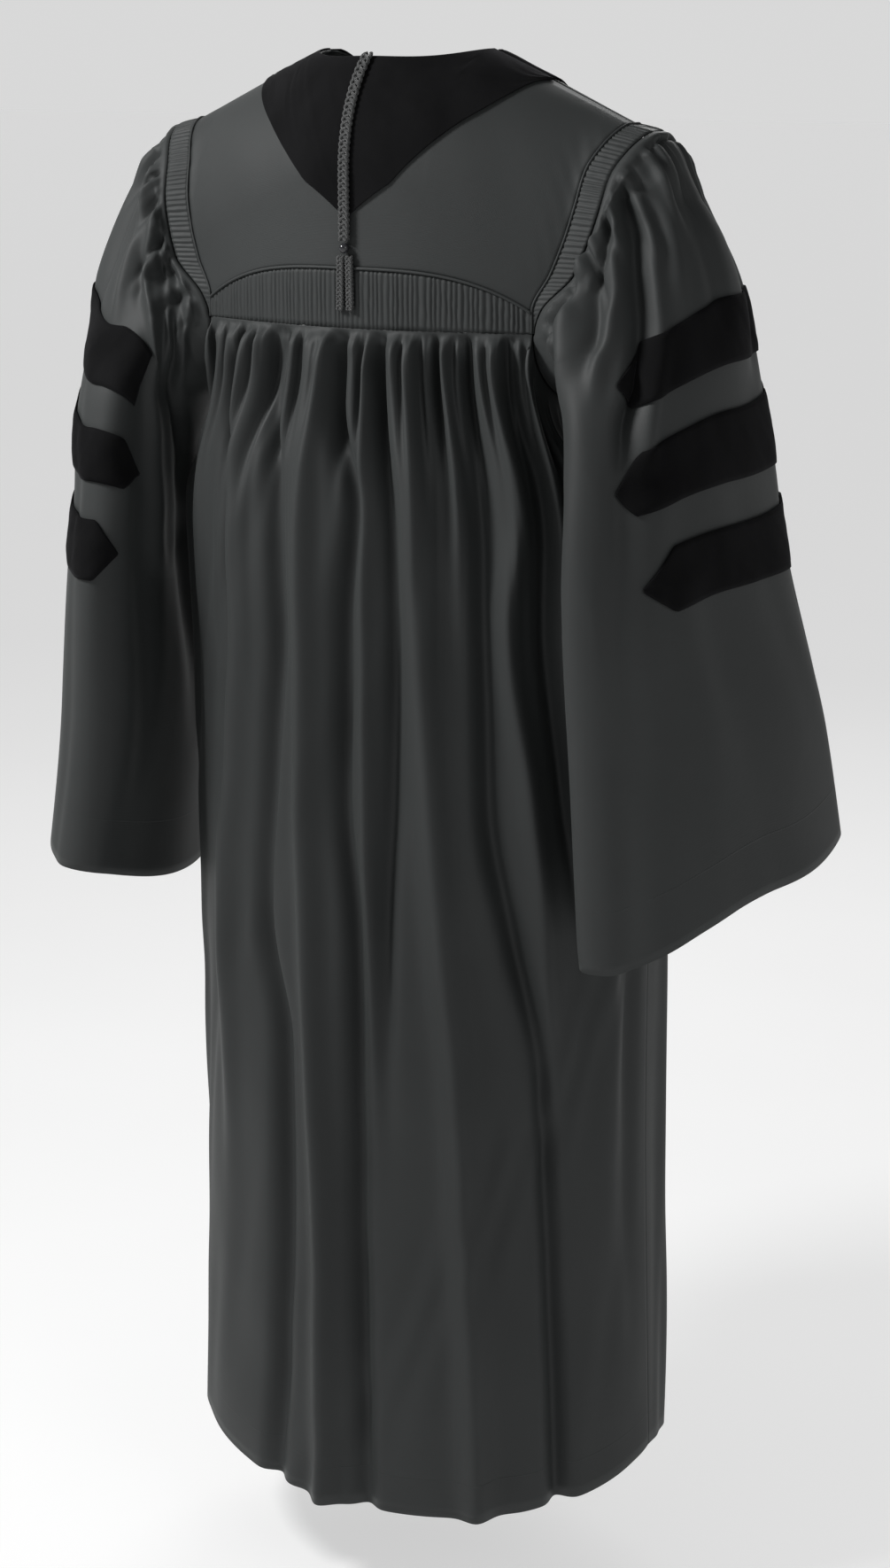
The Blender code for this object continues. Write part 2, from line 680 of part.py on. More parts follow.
def lifted(grid, rise):
    """Left-hand grid moved out from the cloth that it lies on."""
    mesh = cloth_mesh("base", grid)
    columns = len(grid[0])
    result = []
    for r, line in enumerate(grid):
        outs = [mesh.vertices[r * columns + c].normal for c in range(columns)]
        result.append([point + out * rise for point, out in zip(line, outs)])
    bpy.data.meshes.remove(mesh)
    return result


def to_hand(grid, hand):
    """Left-hand grid, or its mirror image with the columns turned round to face out."""
    if hand > 0:
        return grid
    return [[mirrored(point, -1) for point in reversed(line)] for line in grid]


def finish(name, mesh, material, smooth_angle=50.0):
    """Put a finished mesh into the gown's collection as one named piece."""
    mesh.materials.append(material)
    mesh.shade_smooth()
    mesh.set_sharp_from_angle(angle=math.radians(smooth_angle))
    piece = bpy.data.objects.new(name, mesh)
    bpy.data.collections["graduation_gown"].objects.link(piece)
    return piece


def thicken(piece, thickness):
    """Give an open sheet the thickness of its cloth, towards its inside."""
    wall = piece.modifiers.new("cloth thickness", "SOLIDIFY")
    wall.thickness = thickness
    wall.offset = -1.0


def add_cloth(name, grid, thickness, material, hand=1, wrap=False):
    """Piece of cloth through a left-hand grid or its mirror."""
    piece = finish(name, cloth_mesh(name, to_hand(grid, hand), hand, wrap), material)
    thicken(piece, thickness)


def add_fluted(name, outer, inner, material):
    """Fluted wall: rolls in its outer points over a plain inside, closed along its edges."""
    mesh = bpy.data.meshes.new(name)
    rows, columns = len(outer), len(outer[0])
    points = [point for line in outer for point in line]
    points += [point for line in inner for point in line]
    under = rows * columns
    faces = []
    for r in range(rows - 1):
        for c in range(columns - 1):
            a, b = r * columns + c, (r + 1) * columns + c
            faces.append((a, b, b + 1, a + 1))
            faces.append((under + a, under + a + 1, under + b + 1, under + b))
    edge = [c for c in range(columns)]
    edge += [r * columns + columns - 1 for r in range(1, rows)]
    edge += [(rows - 1) * columns + c for c in range(columns - 2, -1, -1)]
    edge += [r * columns for r in range(rows - 2, 0, -1)]
    for i, a in enumerate(edge):
        b = edge[(i + 1) % len(edge)]
        faces.append((a, b, under + b, under + a))
    mesh.from_pydata([tuple(point) for point in points], [], faces)
    mesh.update()
    return finish(name, mesh, material)


def make_material(name, colour, roughness, sheen=0.0):
    """Plain material of one cloth or trim."""
    material = bpy.data.materials.new(name)
    material.use_nodes = True
    shader = material.node_tree.nodes["Principled BSDF"]
    shader.inputs["Base Color"].default_value = (*colour, 1.0)
    shader.inputs["Roughness"].default_value = roughness
    shader.inputs["Metallic"].default_value = 0.0
    shader.inputs["Sheen Weight"].default_value = sheen
    return material


def yoke_grid():
    """Yoke's points and the same grid with each point's distance inside the velvet V."""
    side_drops = [drop_at(armhole_station(j).x, armhole_station(j).z)
                  for j in range(YOKE_CORNER + 1)]
    side_drops[0] = 0.0
    reaches = [-reach for reach in reversed(YOKE_COLUMNS[1:])] + list(YOKE_COLUMNS)
    reaches.reverse()
    grid, insides = [], []
    for j, side_drop in enumerate(side_drops):
        line, inside = [], []
        for reach in reaches:
            x = reach * armhole_station(j).x
            start = neck_drop(reach * SHOULDER_HALF)
            corner_x = reach * armhole_station(YOKE_CORNER).x
            end = drop_at(corner_x, yoke_seam_z(corner_x))
            drop = mix(start, end, side_drop / side_drops[-1])
            if j == 0 and start == 0.0:
                drop = 2 / math.pi * math.asin(SHOULDER_SEAM / depth_at(x, 1))
            line.append(shoulder_point(x, drop, 1))
            inside.append(curve(VELVET_V, abs(x), 1) - drop)
        grid.append(line)
        insides.append(inside)
    return grid, insides


def add_back_yoke(cloth):
    """Smooth yoke over the shoulder blades, from the neck to the arched seam."""
    grid, _ = yoke_grid()
    add_cloth("back_yoke", grid, CLOTH, cloth)


def add_velvet_back(velvet):
    """Velvet V on the back: the yoke's surface moved out and cut along the V's edge."""
    grid, insides = yoke_grid()
    inside = [value for line in insides for value in line]
    whole = cloth_mesh("velvet_back_v", lifted(grid, LIFT + VELVET))
    points, faces, found = [], [], {}
    for face in whole.polygons:
        corners = list(face.vertices)
        ring = []
        for i, a in enumerate(corners):
            b = corners[(i + 1) % 3]
            if inside[a] > 0.0:
                ring.append((a, a))
            if (inside[a] > 0.0) != (inside[b] > 0.0):
                ring.append((min(a, b), max(a, b)))
        for a, b in ring:
            if (a, b) not in found:
                cut = inside[a] / (inside[a] - inside[b]) if a != b else 0.0
                found[(a, b)] = len(points)
                points.append(whole.vertices[a].co.lerp(whole.vertices[b].co, cut))
        if ring:
            faces.append([found[key] for key in ring])
    bpy.data.meshes.remove(whole)
    mesh = bpy.data.meshes.new("velvet_back_v")
    mesh.from_pydata([tuple(point) for point in points], [], faces)
    mesh.update()
    thicken(finish("velvet_back_v", mesh, velvet), VELVET)


def yoke_edge(x):
    """Point of the yoke's lower edge, straight between the yoke's columns."""
    corner = armhole_station(YOKE_CORNER).x
    reach = min(abs(x) / corner, 1.0)
    i = 0
    while i < len(YOKE_COLUMNS) - 2 and reach > YOKE_COLUMNS[i + 1]:
        i += 1
    start, end = corner * YOKE_COLUMNS[i], corner * YOKE_COLUMNS[i + 1]
    t = (reach * corner - start) / (end - start)
    before = Vector((start, depth_at(start, 1), yoke_seam_z(start)))
    after = Vector((end, depth_at(end, 1), yoke_seam_z(end)))
    point = before.lerp(after, t)
    return Vector((x, point.y, point.z))


def add_fluted_band(cloth):
    """Finely gathered band between the yoke and the skirt."""
    corner = armhole_station(BAND_CORNER)
    seam_corner = armhole_station(YOKE_CORNER)
    columns = 2 * BAND_FLUTES
    outer, inner = [], []
    for r in range(3):
        outer_line, inner_line = [], []
        for c in range(columns + 1):
            reach = 1.0 - 2.0 * c / columns
            seam = yoke_edge(reach * (seam_corner.x - SEAM))
            x = mix(seam.x, reach * (corner.x - SEAM), r / 2)
            z = mix(seam.z - SEAM, corner.z, r / 2)
            base = Vector((x, mix(seam.y, depth_at(x, 1), r / 2), z))
            ahead = Vector((x - 0.002, depth_at(x - 0.002, 1), z))
            out = outward(base, ahead)
            rise = FLUTE_RISE if c % 2 else 0.0
            outer_line.append(base + out * rise)
            inner_line.append(base - out * CLOTH)
        outer.append(outer_line)
        inner.append(inner_line)
    add_fluted("fluting_back", outer, inner, cloth)


def add_armhole_fluting(cloth, hand, name):
    """Gathered strip along the armhole, over the shoulder from front to back."""
    front_cells = round(2 * FRONT_FLUTES_PER_STATION * FRONT_FLUTING_END)
    back_cells = 2 * FLUTES_PER_STATION * BAND_CORNER
    stations = [FRONT_FLUTING_END * (c / front_cells - 1.0) for c in range(front_cells)]
    stations += [BAND_CORNER * c / back_cells for c in range(back_cells + 1)]
    outer, inner = [], []
    for r in range(2):
        outer_line, inner_line = [], []
        for c, station in enumerate(stations):
            start = armhole_point(station)
            low = math.floor(station + 1e-9)
            width = mix(fluting_width(low), fluting_width(low + 1), station - low)
            away = away_from_armhole(station)
            point = start + away * (SEAM if r == 0 else width)
            along = armhole_point(station + 0.5) - armhole_point(station - 0.5)
            out = away.cross(along).normalized()
            taper = clamp(width / FLUTING_WIDTH, 0.0, 1.0)
            rise = FLUTE_RISE * taper if c % 2 else 0.0
            outer_line.append(point + out * rise)
            inner_line.append(point - out * CLOTH)
        outer.append(outer_line)
        inner.append(inner_line)
    add_fluted(name, to_hand(outer, hand), to_hand(inner, hand), cloth)


def back_columns():
    """Shares of the skirt's columns, three to a gather, then the armhole's stations."""
    columns = []
    for i in range(len(GATHERS) - 1):
        for part in range(3):
            columns.append(mix(GATHERS[i], GATHERS[i + 1], part / 3))
    columns.append(GATHERS[-1])
    count = UNDERARM - BAND_CORNER
    sides = [BAND_SHARE + (1.0 - BAND_SHARE) * k / count for k in range(count + 1)]
    return list(reversed(sides)) + columns + [-side for side in sides]


def add_back_skirt(cloth):
    """Gathered back from the band and the lower armholes to the hem."""
    grid = [[back_point(share, down) for share in back_columns()] for down in BACK_ROWS]
    add_cloth("back_skirt", grid, CLOTH, cloth)


def front_grid():
    """Left front, its columns running from the middle edge to the side seam."""
    count = UNDERARM
    columns = list(FRONT_COLUMNS)
    columns += [SHOULDER_SHARE + (1.0 - SHOULDER_SHARE) * k / count for k in range(count + 1)]
    grid = []
    for front_row, back_row in zip(FRONT_ROWS, BACK_ROWS):
        line = []
        for share in columns:
            side = ease((share - SHOULDER_SHARE) / (1.0 - SHOULDER_SHARE))
            line.append(front_point(share, mix(front_row, back_row, side)))
        grid.append(line)
    return grid


def add_fronts(cloth, velvet):
    """Both fronts, each with its velvet facing down the middle edge."""
    grid = front_grid()
    edge = FRONT_COLUMNS.index(VELVET_SHARE) + 1
    facing = [line[:edge] for line in lifted(grid, LIFT + VELVET)]
    for hand, side in ((1, "left"), (-1, "right")):
        add_cloth("front_" + side, grid, CLOTH, cloth, hand)
        add_cloth("velvet_front_" + side, facing, VELVET, velvet, hand)


def sleeve_grid(hand):
    """Sleeve as on the left: a row for each level line, a column for each station."""
    rows = len(SLEEVE_HEAD_ROWS) + len(BAR_ROWS) + len(SLEEVE_LOWER_ROWS)
    return [[sleeve_point(hand, station, row) for station in range(ARMHOLE_STATIONS)]
            for row in range(rows)]


def on_grid(grid, column, row):
    """Point of a closed grid's cloth between its columns and rows."""
    columns = len(grid[0])
    left, top = math.floor(column), min(math.floor(row), len(grid) - 2)
    upper = grid[top][left % columns].lerp(grid[top][(left + 1) % columns], column - left)
    lower = grid[top + 1][left % columns].lerp(grid[top + 1][(left + 1) % columns],
                                               column - left)
    return upper.lerp(lower, row - top)


def bar_grid(sleeve, middle, first, last):
    """Bar on a sleeve's cloth, from tip to tip, narrowing to a point at both ends."""
    stations = [first] + list(range(math.floor(first) + 1, math.ceil(last))) + [last]
    grid = []
    for step in (-1.0, 0.0, 1.0):
        line = []
        for station in stations:
            end = min(station - first, last - station)
            width = min(1.0, BAR_POINT + end / BAR_TIP)
            line.append(on_grid(sleeve, station, middle + step * width))
        grid.append(line)
    return grid


def add_sleeves(cloth, velvet):
    """Both bell sleeves with their velvet bars."""
    for hand, side in ((1, "left"), (-1, "right")):
        sleeve = sleeve_grid(hand)
        add_cloth("sleeve_" + side, sleeve, CLOTH, cloth, hand, wrap=True)
        for number, row in enumerate(BAR_ENDS, start=1):
            first, last = (row[1], row[2]) if hand > 0 else (row[3], row[4])
            bar = lifted(bar_grid(sleeve, row[0], first, last), BAR_LIFT + VELVET)
            add_cloth("bar_{}_{}".format(side, number), bar, VELVET, velvet, hand)


def add_rod(name, path, half_width, half_thick, material):
    """Soft rod of oval section along a path on the back, closed at both ends."""
    mesh = bpy.data.meshes.new(name)
    points, faces = [], []
    last = len(path) - 1
    for i, centre in enumerate(path):
        along = (path[min(i + 1, last)] - path[max(i - 1, 0)]).normalized()
        out = Vector((1.0, 0.0, 0.0)).cross(along).normalized()
        if out.y < 0.0:
            out = -out
        for k in range(ROD_SIDES):
            angle = 2 * math.pi * k / ROD_SIDES
            side = Vector((half_width * math.cos(angle), 0.0, 0.0))
            points.append(centre + side + out * half_thick * math.sin(angle))
    for i in range(last):
        for k in range(ROD_SIDES):
            a, b = i * ROD_SIDES + k, i * ROD_SIDES + (k + 1) % ROD_SIDES
            faces.append((a, a + ROD_SIDES, b + ROD_SIDES, b))
    faces.append(tuple(range(ROD_SIDES)))
    faces.append(tuple(last * ROD_SIDES + k for k in reversed(range(ROD_SIDES))))
    mesh.from_pydata([tuple(point) for point in points], [], faces)
    mesh.update()
    return finish(name, mesh, material)


def back_line(start_x, end_x, start_z, end_z, lift, steps):
    """Path down the back, lifted off the yoke."""
    path = []
    for i in range(steps + 1):
        x = mix(start_x, end_x, i / steps)
        z = mix(start_z, end_z, i / steps)
        drop = drop_at(x, z)
        base = shoulder_point(x, drop, 1)
        below = shoulder_point(x, drop + 0.01, 1)
        along = (below - base).normalized()
        out = Vector((0.0, -along.z, along.y))
        path.append(base + out * lift)
    return path


def add_cord(cord, bead):
    """Braided cord down the middle of the back, its button and its two ends."""
    neck = shoulder_point(0.0, neck_drop(0.0), 1).z
    lift = VELVET + 2 * LIFT + CORD_THICK / 2
    path = back_line(0.0, 0.0, neck, CORD_END_Z, lift, CORD_STEPS)
    add_rod("hood_cord", path, CORD_WIDTH / 2, CORD_THICK / 2, cord)
    lift = LIFT + FLUTE_RISE + STRAND_THICK / 2
    for hand, side in ((1, "left"), (-1, "right")):
        start = hand * (STRAND_WIDTH + SEAM) / 2
        end = start + hand * STRAND_SPREAD
        path = back_line(start, end, STRAND_START_Z, STRAND_END_Z, lift, STRAND_STEPS)
        add_rod("cord_tail_" + side, path, STRAND_WIDTH / 2, STRAND_THICK / 2, cord)

    mesh = bpy.data.meshes.new("hood_button")
    bm = bmesh.new()
    bmesh.ops.create_uvsphere(bm, u_segments=12, v_segments=8, radius=BUTTON_RADIUS)
    centre = shoulder_point(0.0, drop_at(0.0, BUTTON_Z), 1)
    reach = BUTTON_RISE / 2
    for vertex in bm.verts:
        vertex.co.y = vertex.co.y * reach / BUTTON_RADIUS + centre.y + LIFT + reach
        vertex.co.z += BUTTON_Z
    bm.to_mesh(mesh)
    bm.free()
    finish("hood_button", mesh, bead)


def add_zip(tape):
    """Tape of the closed zip, behind the meeting edges of the fronts."""
    grid = []
    for line in front_grid()[ZIP_FIRST_ROW:ZIP_LAST_ROW + 1]:
        grid.append([Vector((0.0, line[0].y, line[0].z)), line[1]])
    grid = lifted(grid, -CLOTH - ZIP_LIFT)
    for line in grid:
        line[0].x = 0.0
    piece = finish("front_zip", cloth_mesh("front_zip", grid), tape)
    both = piece.modifiers.new("right half", "MIRROR")
    both.merge_threshold = 0.0001
    thicken(piece, ZIP_THICK)


def build():
    """Clear the scene and build every piece of the gown."""
    for old in list(bpy.data.objects):
        bpy.data.objects.remove(old, do_unlink=True)
    collection = bpy.data.collections.new("graduation_gown")
    bpy.context.scene.collection.children.link(collection)

    cloth = make_material("gown_cloth", CLOTH_COLOUR, 0.48, 0.25)
    velvet = make_material("black_velvet", VELVET_COLOUR, 0.95, 0.35)
    cord = make_material("grey_cord", CORD_COLOUR, 0.60)
    bead = make_material("dark_bead", BEAD_COLOUR, 0.18)
    tape = make_material("zip_tape", TAPE_COLOUR, 0.80)

    add_back_yoke(cloth)
    add_velvet_back(velvet)
    add_fluted_band(cloth)
    add_back_skirt(cloth)
    add_fronts(cloth, velvet)
    add_sleeves(cloth, velvet)
    add_armhole_fluting(cloth, 1, "fluting_left")
    add_armhole_fluting(cloth, -1, "fluting_right")
    add_cord(cord, bead)
    add_zip(tape)


build()
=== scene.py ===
"""Dress of the graduation gown: cloth, velvet, cords, materials, camera and light."""

import math

import bmesh
import bpy
import numpy as np
from mathutils import Matrix, Vector


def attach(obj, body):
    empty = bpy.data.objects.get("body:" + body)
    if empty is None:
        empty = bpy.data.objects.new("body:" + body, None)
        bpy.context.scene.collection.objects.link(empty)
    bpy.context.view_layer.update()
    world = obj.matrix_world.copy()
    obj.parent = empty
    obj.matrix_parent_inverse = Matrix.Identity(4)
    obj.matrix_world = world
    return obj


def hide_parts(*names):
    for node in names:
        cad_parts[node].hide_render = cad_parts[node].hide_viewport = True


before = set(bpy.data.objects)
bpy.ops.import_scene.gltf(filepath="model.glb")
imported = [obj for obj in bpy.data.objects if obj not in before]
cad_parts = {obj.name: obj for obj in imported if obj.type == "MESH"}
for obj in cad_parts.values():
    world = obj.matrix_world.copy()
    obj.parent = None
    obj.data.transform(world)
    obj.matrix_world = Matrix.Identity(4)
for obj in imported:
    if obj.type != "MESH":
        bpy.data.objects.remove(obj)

# Thin shells and finer detail than the solids have
SHELL = 0.0012
VELVET_SHELL = 0.0013
TAPE_SHELL = 0.0009
PIPING = 0.0026
SIDE_TOUCH = 0.0001         # each side's part of what is left open in the side seam
HEM = 0.03                  # depth of the turned hem
VELVET_TIP = 0.149          # where the velvet of the back ends at the shoulder seam
ZIP_SHARE = 0.035           # part of a front's width that the zip's tape reaches
ZIP_TOP = 0.016             # parts of the front's height where the tape starts and ends
ZIP_BOTTOM = 0.72
TOOTH_PITCH = 0.0024
TOOTH_HALF = (0.0011, 0.0006, 0.00075)
SLIDER_HALF = (0.003, 0.0012, 0.005)
PULL_HALF = (0.0022, 0.0005, 0.01)
BLUNT_REACH = 1.7           # how much further the left arm's first bar runs into its fold

# Cuts: flat width and length of each piece of cloth
YOKE_CUT = (0.46, 0.24)
V_CUT = (0.3, 0.2)
BAND_CUT = (0.64, 0.06)
SKIRT_CUT = (1.3, 1.2)
FRONT_CUT = (0.52, 1.42)
FACING_CUT = (0.16, 1.4)
SLEEVE_CUT = (0.8, 0.74)
STRIP_CUT = (0.72, 0.024)
BAR_CUT = (0.34, 0.095)
TAPE_CUT = (0.026, 0.92)

# Colours and weave
CLOTH_DARK = (0.0205, 0.0225, 0.0225)
CLOTH_LIGHT = (0.0285, 0.031, 0.031)
VELVET_DARK = (0.0045, 0.0045, 0.0048)
VELVET_LIGHT = (0.0085, 0.0085, 0.009)
# Cord colours: painted shade in the grooves of the yarn's twist and painted highlight on its
# ridges, mixed with random fibre grain
CORD_SHADE_AND_GRAIN_DARK = (0.01, 0.01, 0.01)
CORD_HIGHLIGHT_AND_GRAIN_LIGHT = (0.085, 0.088, 0.088)
BEAD_DARK = (0.01, 0.01, 0.012)
BEAD_LIGHT = (0.026, 0.026, 0.03)
WEAVE = 260.0
STITCHES = 330.0            # stitches in a metre of the hem
STITCH_GAP = 0.35           # part of a stitch's length that is left open

# Camera and light
CAMERA_TURN = 30.0
CAMERA_AWAY = 2.65
CAMERA_Z = 0.035
CAMERA_PITCH = 15.0
CAMERA_YAW = 0.0117
CAMERA_LENS = 63.66
FLOOR_Z = -1.5
FLOOR_HALF = 50.0
WORLD_LIGHT = 0.15
BACKDROP_LIGHT = 0.69
BACKDROP_SIDE = (0.5, -0.85, -0.17)  # where the bright part of the surroundings is
FLOOR_GLOW = 0.56
LIGHTS = (
    # name, place, aim, size, power
    ("key light", (1.15, 1.2, 0.95), (0.0, 0.05, -0.18), 0.6, 50.0),
    ("side light", (-2.4, 1.2, 0.8), (0.0, 0.0, -0.4), 1.6, 10.0),
    ("front light", (0.8, -2.6, 1.2), (0.0, 0.0, -0.4), 1.8, 25.0),
)

CLOSE = 1e-9                # rounding that is let pass where heights or shares are compared
TINY = 1e-12                # least length that a direction is divided by

# Cloth
CLOTH = 0.0014              # gown cloth with its turned edges
VELVET = 0.0015             # velvet and its backing
SEAM = 0.0003               # air between two pieces that are sewn edge to edge
HEAD_SEAM = 0.0014          # air at the gathered head of a sleeve
LIFT = 0.0005               # air between a panel and the piece that is sewn flat on it
SHOULDER_SEAM = 0.0007      # half of the shoulder seam's gap, measured on top of the ridge

# Shoulders, neck and chest
RIDGE_TOP = 0.0505          # height of the shoulder line at the middle
RIDGE_SLOPE = 0.468         # how fast the shoulder line falls
RIDGE_ROUND = 0.05          # how far the top of the shoulder line is rounded
SHOULDER_HALF = 0.231       # shoulder point from the middle
SHOULDER_FALL = 0.13        # height over which the shoulder rounds into the back
BACK_DEPTH = 0.118          # shoulder line to the middle of the back
FRONT_DEPTH = 0.122         # shoulder line to the middle of the chest
EDGE_DEPTH = 0.075          # shoulder line to the back, beside the armhole
DEPTH_REACH = 0.2           # half width over which the depth falls to its edge value
NECK_HALF = 0.087           # neck point from the middle
NECK_BACK = 0.075           # neck opening behind the shoulder line
NECK_FRONT_Z = -0.185       # bottom of the front neckline
NECKLINE_BEND = 1.15        # how much the front neckline hollows towards the middle
CHEST_Z = -0.16             # height below which the front starts to hang

# Armhole
ARMHOLE_FOOT = -0.285       # height of the underarm point
ARMHOLE_STATIONS = 40       # points round the armhole, shared by every piece sewn there
YOKE_CORNER = 12            # station of the yoke's corner, counted from the shoulder
BAND_CORNER = 13            # station of the lower corner of the fluted band
UNDERARM = ARMHOLE_STATIONS // 2
ARM_SPREAD = 0.1            # how far the sleeve's cloth leans to front and back at the armhole
ARM_FALL = 0.22             # how far it falls there at the shoulder, and rises underneath

# Armhole seam seen from behind
ARMHOLE_LINE = (
    # height, half width
    (-0.285, 0.178),
    (-0.24, 0.1725),
    (-0.198, 0.172),
    (-0.165, 0.1875),
    (-0.135, 0.1985),
    (-0.105, 0.206),
    (-0.075, 0.2105),
    (-0.055, 0.2185),
    (-0.032, 0.231),
)

# Outer edge of the velvet down the front
FACING_LINE = (
    # height, distance from the middle
    (-0.285, 0.118),
    (-0.2, 0.119),
    (-0.1, 0.127),
    (0.01, 0.1446),
)
FACING_SPREAD = 0.5         # height in which the front's threads spread out evenly

# Back yoke
YOKE_SEAM_Z = -0.1635       # height of the yoke seam at the middle
YOKE_SEAM_BEND = 3.2        # how late the seam bends down to its corners

# Velvet on the back: edge of the V
VELVET_V = (
    # half width, drop round the shoulder (1 where the back starts to hang straight)
    (0.0, 1.31),
    (0.049, 0.97),
    (0.094, 0.66),
    (0.118, 0.48),
    (0.134, 0.31),
    (0.1475, 0.06),
    (0.18, -0.55),
)
FRONT_FLUTING_END = 12.5    # station at which the strip ends in front
FLUTE_RISE = 0.0016
FLUTING_WIDTH = 0.024       # width of the strip along the armhole
FLUTING_TAPER = 3           # stations over which the strip narrows to its end
FLUTING_TIP = 0.0015

# Body below the band: level sections
BODY = (
    # height, half width, half depth, centre behind the shoulder line
    (-1.38, 0.255, 0.194, -0.034),
    (-0.9, 0.242, 0.183, -0.035),
    (-0.6, 0.243, 0.176, -0.03),
    (-0.42, 0.243, 0.165, -0.018),
    (-0.3, 0.215, 0.14, -0.004),
    (-0.2, 0.18, 0.12, 0.0),
)
BODY_DROP_BACK = 0.13       # height over which the skirt falls into the level sections
BODY_DROP_FRONT = 0.24
BAND_SHARE = 0.61           # part of the back between its middle and the band's corner
NECK_SHARE = 0.2            # parts of the front's width: to the neck point,
VELVET_SHARE = 0.34         # to the outer edge of the velvet
SHOULDER_SHARE = 0.55       # and to the shoulder point
SHOULDER_SPREAD = 0.015     # height over which the cloth leaves the shoulder seam's own line
OUTER_SHARE = 0.8           # from here on the front falls like the back
SIDE_SETTLE = 0.12          # share of the width over which folds die out at the side seam
FRONT_SETTLE = 0.1
FRONT_GAP = 0.0008          # half of the slit between the two fronts
FRONT_EDGE = 0.0016         # how far the fronts' edges stay back from the armhole seam
HEM_BACK_Z = -1.385
HEM_SIDE_Z = -1.346
HEM_FRONT_Z = -1.355

# Sleeves: level sections, ovals whose back end turns in towards the body
SLEEVE_LEFT = (
    # height, centre out, centre back, half width, half depth, turn in degrees
    (-0.82, 0.349, -0.013, 0.065, 0.168, 9.0),
    (-0.6, 0.322, 0.0, 0.062, 0.165, 14.0),
    (-0.42, 0.302, 0.02, 0.05, 0.148, 14.0),
    (-0.3, 0.286, 0.016, 0.055, 0.13, 9.0),
    (-0.2, 0.249, 0.001, 0.085, 0.107, 3.0),
    (-0.1, 0.2, 0.0, 0.109, 0.09, 0.0),
)
SLEEVE_RIGHT = (
    # height, centre out, centre back, half width, half depth, turn in degrees
    (-0.82, 0.34, -0.016, 0.064, 0.18, 15.0),
    (-0.6, 0.322, 0.003, 0.062, 0.168, 12.0),
    (-0.42, 0.302, 0.026, 0.05, 0.15, 10.0),
    (-0.3, 0.288, 0.02, 0.055, 0.13, 8.0),
    (-0.2, 0.252, 0.003, 0.083, 0.107, 3.0),
    (-0.1, 0.2, 0.0, 0.107, 0.09, 0.0),
)
SLEEVE_HEAD_ROWS = (0.0, 0.06, 0.2, 0.45, 0.72)
SLEEVE_LOWER_ROWS = (0.3, 0.65, 1.0)

# Level lines of the cut sleeve, between which the bars are sewn
BAR_ROWS = (
    # height outside, at the back, inside and in front
    (-0.182, -0.228, -0.33, -0.176),
    (-0.21, -0.255, -0.346, -0.204),
    (-0.239, -0.282, -0.362, -0.233),
    (-0.28, -0.322, -0.383, -0.264),
    (-0.312, -0.347, -0.4, -0.3),
    (-0.343, -0.372, -0.417, -0.336),
    (-0.382, -0.408, -0.44, -0.374),
    (-0.41, -0.437, -0.462, -0.406),
    (-0.438, -0.466, -0.485, -0.438),
)
SLEEVE_HEM_LEFT = (-0.732, -0.765, -0.805, -0.705)
SLEEVE_HEM_RIGHT = (-0.722, -0.778, -0.79, -0.69)
GATHERS = (                 # ridges under the band, from the left armhole to the right
    0.6, 0.52, 0.44, 0.365, 0.3, 0.232, 0.172, 0.095, 0.005, -0.06, -0.135,
    -0.205, -0.258, -0.312, -0.36, -0.414, -0.472, -0.53, -0.595,
)

# Velvet bars on the sleeves, wider towards the back of the left arm and the front of the right
BAR_ENDS = (
    # middle row of the bar, left arm's front tip and back tip, right arm's front and back tip
    (6, -8.6, 11.6, -12.2, 8.5),
    (9, -8.2, 14.4, -13.2, 7.8),
    (12, -6.6, 12.6, -11.4, 5.6),
)
BAR_TIP = 1.8               # stations over which a bar's end narrows to its point
BAR_LIFT = 0.0007           # air between a bar and the sleeve
BAR_POINT = 0.06            # part of the bar's width that is left at the point

# Back cord and button
CORD_WIDTH = 0.0118
CORD_THICK = 0.0048
CORD_END_Z = -0.139
STRAND_WIDTH = 0.0086
STRAND_THICK = 0.0042
STRAND_SPREAD = 0.0008      # how far each strand leans away from the middle
STRAND_START_Z = -0.1525
STRAND_END_Z = -0.201
CORD_PITCH = 0.0155         # length of one turn of the cord's plait, then of a strand's
STRAND_PITCH = 0.012
BUTTON_Z = -0.1457
BUTTON_RADIUS = 0.0047
BUTTON_RISE = 0.0088
ZIP_LIFT = 0.0007           # air between the tape and the fronts


def clamp(value, low, high):
    """Value kept between two limits."""
    return max(low, min(high, value))


def ease(value):
    """Soft step from 0 to 1."""
    t = clamp(value, 0.0, 1.0)
    return t * t * (3.0 - 2.0 * t)


def mix(a, b, t):
    """Straight blend of two numbers or vectors."""
    return a + (b - a) * t


def curve(rows, key, column):
    """Smooth value of a table's column at a key, with the keys rising in column 0."""
    last = len(rows) - 1
    key = clamp(key, rows[0][0], rows[last][0])
    i = 0
    while i < last - 1 and key > rows[i + 1][0]:
        i += 1

    def slope(j):
        return (rows[j + 1][column] - rows[j][column]) / (rows[j + 1][0] - rows[j][0])

    def tangent(j):
        if j == 0 or j == last:
            return slope(min(j, last - 1))
        before, after = slope(j - 1), slope(j)
        if before * after <= 0.0:
            return 0.0
        return 2.0 * before * after / (before + after)

    span = rows[i + 1][0] - rows[i][0]
    t = (key - rows[i][0]) / span
    start, end = rows[i][column], rows[i + 1][column]
    lift = (tangent(i) * (1 - t) - tangent(i + 1) * t) * span * t * (1 - t)
    return mix(start, end, ease(t)) + lift


def ridge_z(x):
    """Height of the shoulder line."""
    return RIDGE_TOP - RIDGE_SLOPE * (math.hypot(x, RIDGE_ROUND) - RIDGE_ROUND)


def depth_at(x, side):
    """Distance of the straight back (side 1) or chest (side -1) from the shoulder line."""
    middle = BACK_DEPTH if side > 0 else FRONT_DEPTH
    reach = min(abs(x) / DEPTH_REACH, 1.0)
    return EDGE_DEPTH + (middle - EDGE_DEPTH) * math.cos(math.pi / 2 * reach)


